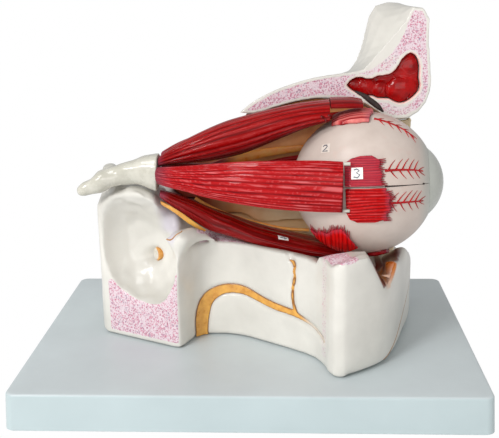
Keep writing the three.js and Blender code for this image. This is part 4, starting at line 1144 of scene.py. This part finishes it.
def strap_mesh(stations, face, bundles, groove, rings=110, sides=144, seed=0.0, pale=(0.0, 6.0), shade=None):
    """A muscle belly: bundles of fibres run its length, with grooves "groove" deep between them.

    "pale" gives how far the pale ends reach at the front and back, and "shade" a rule for dark places
    from the way along in millimetres, the way left, and the side of the strap (1 on its face).
    """
    line = curve_through(stations, rings)
    length = lengths_along(line)
    front_pale, back_pale = pale
    points = []
    values = {"ridge": [], "along": [], "across": [], "pale": [], "shade": []}

    def note(**told):
        for key, value in told.items():
            values[key].append(value)

    for step in range(rings):
        centre = Vector(line[step, :3])
        ahead = Vector(line[min(step + 1, rings - 1), :3]) - Vector(line[max(step - 1, 0), :3])
        if step in (0, rings - 1):
            ahead = Vector((1, 0, 0))
        ahead.normalize()
        across = ahead.cross(face).normalized()
        out = across.cross(ahead).normalized()
        wide, thick, droop = line[step, 3:6]
        run, left = length[step], length[-1] - length[step]
        calm = min(1.0, 0.25 + min(run, left) / 10)
        back = max(0.0, 1 - run / back_pale) if back_pale else 0
        front = max(0.0, 1 - left / front_pale) if front_pale else 0
        for side in range(sides):
            angle = 2 * math.pi * side / sides
            c, s = math.cos(angle), math.sin(angle)
            flat_c = math.copysign(abs(c) ** SQUARENESS, c)
            flat_s = math.copysign(abs(s) ** SQUARENESS, s)
            turn = bundles * side / sides
            phase = (turn + 0.55 * noise.noise(Vector((run * 0.02, 3 * c + seed, 3 * s)))) % 1.0
            crest = 1 - abs(2 * phase - 1) ** CREST_SHARPNESS
            depth = groove * calm * (1 - crest) * min(1.0, thick / 3)
            place = centre + across * (wide * flat_c) + out * (thick * flat_s - droop * c * c)
            points.append(place + (centre - place).normalized() * depth)
            note(ridge=crest, along=run * MM, across=turn * 3.2 * (wide + thick) / bundles * MM)
            note(pale=0.75 * max(back, front), shade=shade(run, left, flat_s) if shade else 0)
    faces = ring_faces(rings, sides)
    for start, centre in ((0, Vector(line[0, :3])), ((rings - 1) * sides, Vector(line[-1, :3]))):
        inner = len(points)
        hub = inner + sides
        for side in range(sides + 1):
            rim = start + side % sides
            points.append(points[rim].lerp(centre, CAP_RIM if side < sides else 1))
            note(ridge=values["ridge"][rim] * 0.7, along=values["along"][rim], across=values["across"][rim])
            note(pale=0.6, shade=0)
        for side in range(sides):
            nxt = (side + 1) % sides
            faces.append((start + side, start + nxt, inner + nxt, inner + side))
            faces.append((inner + side, inner + nxt, hub))
    work = skin_of(points, faces, **values)
    bmesh.ops.recalc_face_normals(work, faces=work.faces)
    return mesh_of(work)


def lateral_shade(run, left, side):
    """Dark at the very front, and half dark at the origin, fading out over 12 mm."""
    return max(0.9 * (left < 0.9), 0.45 * max(0.0, 1 - run / 12))


def underside_shade(run, left, side):
    return 0.75 * float(ease(-side, 0.1, 0.9)) + 0.3 * max(0.0, 1 - run / 18)


def make_muscles():
    def belly(name, mesh, paint, body, slot, node):
        new_piece(name + "_belly", mesh, paint, body, slot, node, smooth=50)

    mesh = strap_mesh(LATERAL, OUTER_FACE, 34, 0.5, seed=1.3, pale=(0, 15), shade=lateral_shade)
    belly("lateral_muscle", mesh, MUSCLE, "lateral_muscle", "muscle_red", "lateral_rectus")
    mesh = strap_mesh(SUPERIOR, TOP_FACE, 18, 0.55, seed=4.7, pale=(0, 5), shade=underside_shade)
    belly("superior_muscle", mesh, MUSCLE_TOP, "superior_muscle", "muscle_red", "superior_rectus")
    mesh = strap_mesh(LID_LIFTER, TOP_FACE, 10, 0.25, 40, 96, seed=7.1, pale=(0, 0), shade=lambda *_: 0.25)
    belly("lid_lifter", mesh, MUSCLE_TOP, "superior_muscle", "muscle_dark", "lid_lifter")
    mesh = strap_mesh(INFERIOR, TOP_FACE, 12, 0.4, seed=9.2, pale=(0, 5))
    belly("inferior_muscle", mesh, MUSCLE_DEEP, "orbit", "muscle_dark", "inferior_rectus")
    mesh = strap_mesh(MEDIAL, OUTER_FACE, 18, 0.5, 70, 104, seed=2.9, pale=(0, 5), shade=underside_shade)
    belly("medial_muscle", mesh, MUSCLE_DEEP, "orbit", "muscle_dark", "medial_rectus")
    mesh = strap_mesh(OBLIQUE, TOP_FACE, 10, 0.3, 70, 72, seed=6.4, pale=(0, 5))
    belly("oblique_muscle", mesh, MUSCLE_TOP, "orbit", "muscle_red", "superior_oblique")


# Nerves

FLOOR_NERVE_THINNED = 0.6
BONE_REACH = 4
BRANCH_LIFT = 0.25
# How dark the lifted branch is painted, on the scale of the painted shade beside the bone
BRANCH_SHADE_AND_STAIN = 0.2
LINING_HEIGHT = 0.7


def nerve_piece(name, voxel, material, slot="nerve_yellow", rounds=3, **marks):
    """A nerve or lining as a soft body; "marks" are rules for its painted places, from (x, y, z)."""
    mesh = soft_piece(name + "_body", name, voxel, rounds, material, slot)
    for mark, rule in marks.items():
        paint_points(mesh, **{mark: rule(*coordinates(mesh).T / MM)})
    return mesh


def hole_shade(x, y, z):
    """1 where the bowl's white paint covers the nerve in the round hole: all but a half moon."""
    _, along = face_ways(np.stack([x, y, z], axis=1))
    return 1 - ease(np.hypot(along - along.mean() + 3.6, z - z.mean()), 3.7, 4.3)


def make_jaw_nerve(bone):
    """The nerve down the jaw: painted shade beside the bone, and lifted out of it where it would be buried.
    """
    mesh = nerve_piece("upper_jaw_nerve", 0.45, NERVE, faded=lambda x, y, z: 0.8 * ease(x, 28, 36))
    points = coordinates(mesh)
    reach = BONE_REACH * MM
    away = np.array([bone.find_nearest(Vector(p), reach)[3] or reach for p in points]) / MM
    # Painted shade: darker within about a millimetre of the bone.
    stain = 0.85 * ease(0.95 - away, 0, 0.5)
    for index, outward in enumerate(point_normals(mesh)):
        place, face, _, _ = bone.find_nearest(Vector(points[index]))
        height = (Vector(points[index]) - place).dot(face)
        if height < BRANCH_LIFT * MM and Vector(outward).dot(face) > 0.4:
            points[index] += (BRANCH_LIFT * MM - height) * np.array(face)
            stain[index] = BRANCH_SHADE_AND_STAIN
    move_points(mesh, points)
    paint_points(mesh, stain=stain)


def make_tear_sac(bone):
    """The lining of the tear-sac groove, drawn down onto the bone."""
    mesh = nerve_piece(
        "tear_sac", 0.5, TEAR_SAC,
        faded=lambda x, y, z: 0.5 * ease(-34 - y, 0, 12),
        # Painted shade: dark red deeper in the groove.
        red=lambda x, y, z: ease(y, -23, -17),
    )
    points = coordinates(mesh)
    for index, point in enumerate(points):
        place, face, _, _ = bone.find_nearest(Vector(point))
        height = (Vector(point) - place).dot(face)
        if height > LINING_HEIGHT * MM:
            points[index] = place + face * (LINING_HEIGHT * MM + 0.02 * height)
    move_points(mesh, points)
    relaxed(mesh, 1, 6)


def make_stalk():
    """The nerve stalk, with lumps at its far end."""
    mesh = nerve_piece("nerve_stalk", 0.8, STALK, "sheath_white", 5)
    points = coordinates(mesh)
    lumps = np.array([noise.noise(Vector(p) / (LUMP_SIZE * MM)) for p in points])
    lumps *= 1.5 * ease(-60 * MM - points[:, 0], 0, 14 * MM)
    move_points(mesh, points + point_normals(mesh) * (lumps * MM)[:, None])


def make_nerves():
    bone = BVHTree.FromObject(bpy.data.objects["bone"], bpy.context.evaluated_depsgraph_get())
    # Painted shade: the wall nerve's back part is dark red.
    nerve_piece("wall_nerve", 0.4, WALL_NERVE, red=lambda x, y, z: ease(-8 - x, 0, 12))
    floor = nerve_piece("floor_nerve", 0.4, NERVE)
    move_points(floor, coordinates(floor) - FLOOR_NERVE_THINNED * MM * point_normals(floor))
    make_jaw_nerve(bone)
    nerve_piece("round_hole_nerve", 0.4, NERVE, faded=hole_shade)
    make_tear_sac(bone)
    nerve_piece("optic_nerve", 0.8, NERVE, rounds=5)
    make_stalk()


# Eyeball: places along the gaze, and radii

COAT_OUTER = EYE_RADIUS - SCLERA_WALL - SLACK
COAT_INNER = COAT_OUTER - CHOROID_WALL
OPENING_PLACE = math.sqrt(EYE_RADIUS**2 - FRONT_OPENING**2)
CORNEA_BACK = OPENING_PLACE - CORNEA_RIM
IRIS_FRONT = CORNEA_BACK - GAP
IRIS_BACK = IRIS_FRONT - IRIS_THICKNESS
IRIS_STEPS = 10
LENS_MIDDLE = IRIS_BACK - LENS_FRONT - 1


def degrees_out(side, radius):
    """The angle from the gaze at which a circle of a radius is "side" away from it."""
    return math.degrees(math.asin(min(1, side / radius)))


def coat_profile(outer, wall, opening):
    """A hollow ball with its wall and its round opening ahead."""
    inner = outer - wall
    outside = arc(0, outer, 180, degrees_out(opening, outer), 48)
    return outside + arc(0, inner, degrees_out(opening, inner), 180, 48)


def make_coats():
    white = coat_profile(EYE_RADIUS, SCLERA_WALL, FRONT_OPENING)
    middle = coat_profile(COAT_OUTER, CHOROID_WALL, FRONT_OPENING - SLACK)
    inner_side = COAT_INNER + 0.6
    for half, side, coat_body in ((1, "upper", "upper_coat"), (-1, "lower", "eyeball_lower")):
        mesh = eye_mesh(turned_mesh(white), half, front=lambda co: float(ease(co.x, 29, 37)))
        body = "eyeball_" + side
        new_piece(f"{side}_white_coat", mesh, EYE_WHITE, body, "eye_white", f"{side}_sclera", smooth=40)
        mesh = eye_mesh(turned_mesh(middle), half, inside=lambda co: float(co.length < inner_side))
        new_piece(f"{side}_middle_coat", mesh, COAT, coat_body, "coat_brown", f"{side}_choroid", smooth=40)


def make_cornea():
    rim = FRONT_OPENING - SLACK
    dome = OPENING_PLACE - math.sqrt(CORNEA_RADIUS**2 - rim**2)
    inner = CORNEA_RADIUS - CORNEA_WALL
    rim_inner = rim - CORNEA_WALL
    outside = arc(dome, CORNEA_RADIUS, 0, degrees_out(rim, CORNEA_RADIUS), 28)
    inside = arc(dome, inner, degrees_out(rim_inner, inner), 0, 28)
    mesh = eye_mesh(turned_mesh(outside + [(rim, CORNEA_BACK), (rim_inner, CORNEA_BACK)] + inside))
    new_piece("cornea_dome", mesh, CORNEA, "cornea_cap", "cornea_clear", "cornea", smooth=40)


def make_iris():
    outer = FRONT_OPENING - 2 * SLACK
    radii = [PUPIL_RADIUS + (outer - PUPIL_RADIUS) * i / IRIS_STEPS for i in range(IRIS_STEPS + 1)]
    corner = (PUPIL_RADIUS, IRIS_BACK)
    face = [(radius, IRIS_FRONT) for radius in radii]
    work = turned_mesh([corner] + face + [(outer, IRIS_BACK), corner], 144)
    clean(work)
    mesh = mesh_of(work)
    _, across, up = coordinates(mesh).T
    paint_points(mesh, turn=np.abs(np.arctan2(up, across)) * 12 * MM, out=np.hypot(across, up))
    mesh.transform(EYE_FRAME)
    new_piece("iris_ring_piece", mesh, IRIS, "iris_ring", "iris_blue", "iris", smooth=40)


def make_lens_and_gel():
    front_radius, back_radius = ((LENS_RADIUS**2 + h**2) / (2 * h) for h in (LENS_FRONT, LENS_BACK))
    back_place = LENS_MIDDLE - LENS_BACK + back_radius
    front_place = LENS_MIDDLE + LENS_FRONT - front_radius
    ahead = arc(front_place, front_radius, 0, degrees_out(LENS_RADIUS, front_radius), 16)
    behind = arc(back_place, back_radius, 180 - degrees_out(LENS_RADIUS, back_radius), 180, 20)
    mesh = eye_mesh(turned_mesh(ahead + behind, 72))
    new_piece("lens_piece", mesh, GEL, "lens_body", "gel_clear", "lens", smooth=30)

    gel_radius = COAT_INNER - SLACK
    gel_front = LENS_MIDDLE + 1.5
    edge = math.degrees(math.acos(gel_front / gel_radius))
    dish_radius = back_radius + GAP
    dish = arc(back_place, dish_radius, 180 - degrees_out(LENS_RADIUS, dish_radius), 180, 20)
    way = LENS_RADIUS + SLACK
    lip = [(way + 1, gel_front), (way, gel_front - 0.3), (way, dish[0][1])]
    mesh = eye_mesh(turned_mesh(arc(0, gel_radius, 180, edge, 48) + lip + dish, 72))
    new_piece("gel_body", mesh, GEL, "vitreous", "gel_clear", "vitreous_body", smooth=30)


# Stubs: body, axes across and along in the eyeball's frame, width of a strand, depth of the grooves
STUBS = {
    "lateral_stub_upper": ("eyeball_upper", 2, 0, 1.3, 0.3),
    "lateral_stub_lower": ("eyeball_lower", 2, 0, 1.7, 0.45),
    "medial_stub_upper": ("eyeball_upper", 2, 0, 1.5, 0.4),
    "medial_stub_lower": ("eyeball_lower", 2, 0, 1.5, 0.4),
    "superior_stub": ("eyeball_upper", 1, 0, 2.6, 0.25),
    "inferior_stub": ("eyeball_lower", 1, 0, 2.2, 0.3),
    "inferior_oblique_stub": ("eyeball_lower", 0, 2, 2.4, 0.12),
}
# The inferior oblique stub takes the brighter red, partly painted light.
STUB_PAINTS = {"inferior_oblique_stub": MUSCLE_LIT, "superior_stub": MUSCLE_PALE}
# Stubs whose front edge ends in loose strands
FRINGED = ("lateral_stub_upper", "lateral_stub_lower", "inferior_oblique_stub")
ROW_WIDTH = 1.5
FRINGE_SPACING = 0.85
FRINGE_ROOT = 1.6
EYE_AXES = np.array(EYE_TURN)
EYE_MIDDLE = np.array(EYE_CENTRE)


def in_eye(points):
    """Points in the model's frame, seen from the eyeball's own frame."""
    return (points - EYE_MIDDLE) @ EYE_AXES


def from_eye(points):
    return np.asarray(points) @ EYE_AXES.T + EYE_MIDDLE


def make_stubs():
    """Grooves the stubs into strands, paints their ends and edges, and adds the fringes."""
    for name, (body, across_axis, along_axis, strand, rib) in STUBS.items():
        paint = STUB_PAINTS.get(name, MUSCLE_STUB)
        mesh = soft_piece(name + "_strands", name, 0.35, 3, paint, "muscle_red", body)
        local = in_eye(coordinates(mesh) / MM)
        across = local[:, across_axis]
        along = local[:, along_axis]
        radius = np.linalg.norm(local, axis=1)
        wobble = np.array([noise.noise(Vector((a * 0.05, c * 0.2, 0.0))) for a, c in zip(along, across)])
        phase = (across / strand + 0.5 * wobble) % 1.0
        crest = 1 - np.abs(2 * phase - 1) ** 2
        push = -rib * (1 - crest) * ease(radius, EYE_RADIUS + 0.9, EYE_RADIUS + 1.5)
        move_points(mesh, from_eye(local * (1 + push / radius)[:, None]) * MM)
        paint_points(mesh, ridge=crest, along=along * MM, across=across * MM)
        rows = ((across - across.min()) / ROW_WIDTH).astype(int)
        fronts = np.array([along[rows == r].max(initial=along.min()) for r in range(rows.max() + 1)])
        ground = 0.45 if name == "lateral_stub_upper" else 0
        paint_points(mesh, pale=np.maximum(ground, 0.5 * ease(along - fronts[rows], -3.4, -0.6)))
        shade = 0.6 if name == "inferior_stub" else 0
        height = (radius - EYE_RADIUS) / (radius.max() - EYE_RADIUS)
        paint_points(mesh, shade=np.maximum(shade, 0.5 * ease(0.5 - height, 0, 0.4)))
        if name in FRINGED:
            filled = [rows == r for r in range(rows.max()) if np.any(rows == r)]
            edge = [(across[row].mean(), along[row].max()) for row in filled]
            fringe(name, edge, across_axis, along_axis, body)


def fringe(name, edge, across_axis, along_axis, body):
    """Loose tapering strands at a stub's front edge, laid down on the white coat."""
    lines = []
    heights, fronts = zip(*edge)
    depth_axis = 3 - across_axis - along_axis
    chance = np.random.default_rng(5)
    for height in np.arange(min(heights) + 0.4, max(heights) - 0.3, FRINGE_SPACING):
        front = np.interp(height, heights, fronts)
        length = 0.9 + 2.6 * chance.random()
        if front < max(fronts) - 4.5:
            continue
        lean = 0.5 * (height - np.mean(heights)) / (max(heights) - min(heights))
        line = []
        for step in range(7):
            share = step / 6
            place = [0.0, 0.0, 0.0]
            place[across_axis] = height + lean * length * share
            place[along_axis] = front - FRINGE_ROOT + (FRINGE_ROOT + length) * share
            flat = place[across_axis] ** 2 + place[along_axis] ** 2
            radius = EYE_RADIUS + 1.5 * (1 - share) ** 0.7 + 0.02
            place[depth_axis] = -math.sqrt(max(radius**2 - flat, 1))
            line.append((Vector(from_eye(place)), 0.5 * (1 - share) ** 0.8 + 0.06))
        lines.append(line)
    strokes(name + "_fringe", lines, FRINGE, body, "muscle_red", 6)


# Painted lines, vessels and number cards

VESSEL_LIFT = 0.05
LINE_LIFT = -0.1
RETINA_LIFT = 0.06
# Radii of the vessels at their start and end
STEM = (0.72, 0.34)
BRANCH = (0.48, 0.1)
FORK = (0.4, 0.1)


def drawn_on_eye(points, steps, start, end, lift=VESSEL_LIFT):
    """A painted line on the white coat, from points in the eyeball's frame."""
    laid = [Vector(p).normalized() * (EYE_RADIUS + lift) for p in curve_through(points, steps)]
    return tapered(from_eye(laid), start, end)


def fern(stem, up, down, reach_up, reach_down):
    """A stem with leaning branches on both sides and a forked end, in the eyeball's frame."""
    lines = [drawn_on_eye(stem, 24, *STEM)]
    path = curve_through(stem, 60)
    ahead = (path[-1] - path[0]) / np.linalg.norm(path[-1] - path[0])

    def sideways(root):
        way = np.cross(root, ahead)
        return way / np.linalg.norm(way)

    for count, side, reach in ((up, 1, reach_up), (down, -1, reach_down)):
        for step in range(count):
            share = 0.08 + 0.8 * (step + 0.25 * (side < 0)) / count
            root = path[int(share * 59)]
            size = reach * (1 - 0.35 * abs(share - 0.4))
            out = side * sideways(root)
            tip = root + size * (0.8 * ahead + 0.9 * out)
            bend = root + 0.5 * (tip - root) + size * 0.08 * out
            lines.append(drawn_on_eye([root, bend, tip], 12, *BRANCH))
    for side in (1, -1):
        root = path[50]
        out = side * sideways(root)
        tip = path[-1] + 2 * ahead + 2.4 * out
        bend = 0.5 * (root + tip) + 0.3 * out
        lines.append(drawn_on_eye([root, bend, tip], 12, *FORK))
    return lines


def draw_vessels():
    upper = [(11.7, -38.4, 8.4), (17.1, -36.3, 8.6), (26.3, -30.4, 8.1), (32.4, -24.2, 7)]
    lower = [(12, -38.2, -8.8), (16.8, -36.3, -9.1), (24.4, -31.7, -9.1), (32.3, -23.4, -9.3)]
    over = [(6.6, -17.9, 36.3), (15.6, -17.9, 33.4), (25.7, -16, 27.6), (28.3, -16.4, 24.8)]
    lines = fern(upper, 5, 4, 7.2, 5.6) + fern(over, 4, 4, 5, 5)
    strokes("upper_vessels", lines, VESSEL, "eyeball_upper", "muscle_red")
    strokes("lower_vessels", fern(lower, 5, 4, 7.2, 6), VESSEL, "eyeball_lower", "muscle_red")


def surface_of(name):
    """A rule that finds the nearest place and its outward way on a finished piece, in millimetres."""
    tree = BVHTree.FromObject(bpy.data.objects[name], bpy.context.evaluated_depsgraph_get())

    def put(point):
        place, face, _, _ = tree.find_nearest(Vector(point) * MM)
        return place / MM, face

    return put


def drawn_on_bone(points, steps, start, end, lift):
    """A painted line on the bone block: the points are drawn to its surface."""
    put = surface_of("bone")
    laid = [put(point) for point in curve_through(points, steps)]
    return tapered([place + face * lift for place, face in laid], start, end)


def draw_lines():
    def line(name, strand, paint, body="orbit", slot="nerve_yellow", sides=8):
        strokes(name, [strand], paint, body, slot, sides)

    edge = [(x, -30.5, z) for x, z in NOTCH_EDGE]
    line("notch_edge_line", drawn_on_bone(edge, 36, 0.5, 0.4, LINE_LIFT), NERVE_EDGE)
    side = [
        (76.7, -49.6, 23.5), (83.1, -37.3, 29), (87.4, -23.7, 34.4), (91.2, -11.5, 38.2), (95.2, 2.4, 45.1),
        (97.2, 9.3, 50.4),
    ]
    line("side_seam_line", drawn_on_bone(side, 60, 0.55, 0.3, -0.25), NERVE_EDGE)
    rim = [
        (-35.2, 12, 103.1), (-28, 12, 98.6), (-18.8, 12, 94.1), (-8.3, 12, 90.2), (5.9, 12, 86.3),
        (20.1, 12, 83.3), (34.9, 12, 82.3),
    ]
    line("lower_rim_strip", tapered(curve_through(rim, 50), 1.0, 1.0), WALL_NERVE, sides=12)
    # A dark strip under the brow: painted shade in the gap between the roof and the eyeball.
    wedge = [
        (62.5, 21, 166.4, 0.7), (67.5, 20.8, 163.9, 1.5), (72.2, 20.6, 160.6, 1.9),
        (76.2, 20.4, 157.4, 1.7), (79.6, 20.4, 154.2, 0.6),
    ]
    gap_shade = [(Vector(row[:3]), row[3]) for row in curve_through(wedge, 40)]
    line("brow_gap_shade", gap_shade, SEAM, "orbit", "rubber_grey", 12)
    knots = [(41, -25.6, 158.6), (43.2, -25.4, 156.4), (45, -25.2, 159.2)]
    dots = [[(Vector(p), 1.3), (Vector(p) + Vector((0.5, 0, 0.9)), 1.0)] for p in knots]
    strokes("tendon_knots", dots, MUSCLE_DEEP, "superior_muscle", "muscle_dark", 10)
    seam = [(11.6, -39.3, 0.1), (18, -36.8, 0.1), (24, -33.2, 0.1), (29.8, -28.2, 0.1)]
    seam_body = ("eyeball_lower", "rubber_grey")
    line("seam_line", drawn_on_eye(seam, 30, 0.5, 0.16, LINE_LIFT), SEAM, *seam_body)
    dot = [(32.2, -25.4, 0.1), (33, -24.3, 0.1)]
    line("seam_dot", drawn_on_eye(dot, 6, 0.55, 0.55, LINE_LIFT), SEAM, *seam_body)


def retina_lines():
    """The vessels that run forward from the back of the eye."""

    def put(angle, turn):
        a, t = math.radians(angle), math.radians(turn)
        way = Vector((-math.cos(a), math.sin(a) * math.cos(t), math.sin(a) * math.sin(t)))
        return Vector(from_eye(way * (COAT_INNER - RETINA_LIFT)))

    for body, sign, name in (("upper_coat", 1, "upper"), ("eyeball_lower", -1, "lower")):
        lines = []
        for turn, reach in ((24, 78), (66, 84), (112, 84), (152, 76)):
            trunk = [(14 + (reach - 14) * k / 30, turn + 9 * math.sin(k / 6)) for k in range(31)]
            lines.append([(put(a, sign * t), 0.55 - 0.012 * k) for k, (a, t) in enumerate(trunk)])
            for k, lean in ((8, 16), (15, -18), (21, 14)):
                a, t = trunk[k]
                branch = [put(a + 2.2 * j, sign * (t + lean * j / 9)) for j in range(10)]
                lines.append([(place, 0.3 - 0.02 * j) for j, place in enumerate(branch)])
        strokes(name + "_retina_vessels", lines, VESSEL, body, "muscle_red", 6)


# Stroke figures on a card one unit high, from its lower left corner
FIGURES = {
    "2": [(0.22, 0.68), (0.34, 0.84), (0.6, 0.84), (0.7, 0.66), (0.54, 0.44), (0.22, 0.16), (0.78, 0.16)],
    "3": [(0.24, 0.8), (0.5, 0.88), (0.7, 0.7), (0.44, 0.54), (0.74, 0.36), (0.54, 0.12), (0.22, 0.2)],
    "4": [(0.64, 0.1), (0.64, 0.88), (0.2, 0.36), (0.84, 0.36)],
}
CARD_STEPS = 6
CARD_SUNK = 0.4
INK_RADIUS = 0.3
INK_LIFT = 0.02


def number_card(figure, corner, along, up, put, body, thickness=0.3, card=CARD):
    """A small card with a stroke figure, bent onto the piece by the rule "put"."""
    corner, along, up = Vector(corner), Vector(along), Vector(up)
    top, bottom = [], []
    for row in range(CARD_STEPS + 1):
        for column in range(CARD_STEPS + 1):
            place, face = put(corner + along * (column / CARD_STEPS) + up * (row / CARD_STEPS))
            top.append(place + face * thickness)
            bottom.append(place - face * CARD_SUNK)
    columns = CARD_STEPS + 1
    total = len(top)
    faces = ring_faces(columns, columns, closed=False)
    rim = list(range(CARD_STEPS)) + list(range(CARD_STEPS, total - 1, columns))
    rim += [total - 1 - i for i in rim]
    back = [tuple(i + total for i in reversed(face)) for face in faces]
    sides = [(a, b, b + total, a + total) for a, b in zip(rim, rim[1:] + rim[:1])]
    name = f"card_{figure}"
    new_piece(name, mesh_from(top + bottom, faces + back + sides), card, body, "bone_white", smooth=40)
    line = []
    for x, y in FIGURES[figure]:
        place, face = put(corner + along * x + up * y)
        line.append((place + face * (thickness + INK_LIFT), INK_RADIUS))
    strokes(name + "_figure", [line], INK, body, "steel", 6)


def make_cards():
    def on_eye(lift):
        def put(point):
            way = Vector(point).normalized()
            return Vector(from_eye(way * (EYE_RADIUS + lift))), Vector(from_eye(way)) - EYE_CENTRE

        return put

    number_card("3", (-6.2, -42.8, 4.6), (6.3, 0, 0), (0, 0, 6.4), on_eye(2.15), "eyeball_upper")
    corner = (-22.4, -28.4, 18.4)
    number_card("2", corner, (5.2, -2.2, 0), (0, 2.2, 5.2), on_eye(0), "eyeball_upper", 0.12, PALE_CARD)
    on_muscle = surface_of("inferior_muscle_belly")
    number_card("4", (16.2, -14.5, 84.6), (6.2, 0, -0.6), (-0.2, 3.6, 1.8), on_muscle, "orbit", 0.2)


def finish_pegs():
    """The peg behind the eyeball and the lateral muscle's pins are plain rods: they keep their solids."""
    for name in ("eyeball_peg", "lateral_pin_1", "lateral_pin_2"):
        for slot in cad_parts[name].material_slots:
            slot.material = STALK


place_camera()
light_the_scene()
lay_the_floor()
make_base()
make_feet_and_screws()
make_bone_block()
make_frontal_bone()
make_sinus_lining()
make_inner_wall()
make_muscles()
make_nerves()
make_coats()
make_cornea()
make_iris()
make_lens_and_gel()
make_stubs()
draw_vessels()
draw_lines()
make_cards()
retina_lines()
finish_pegs()

bpy.context.scene.view_settings.view_transform = "Standard"
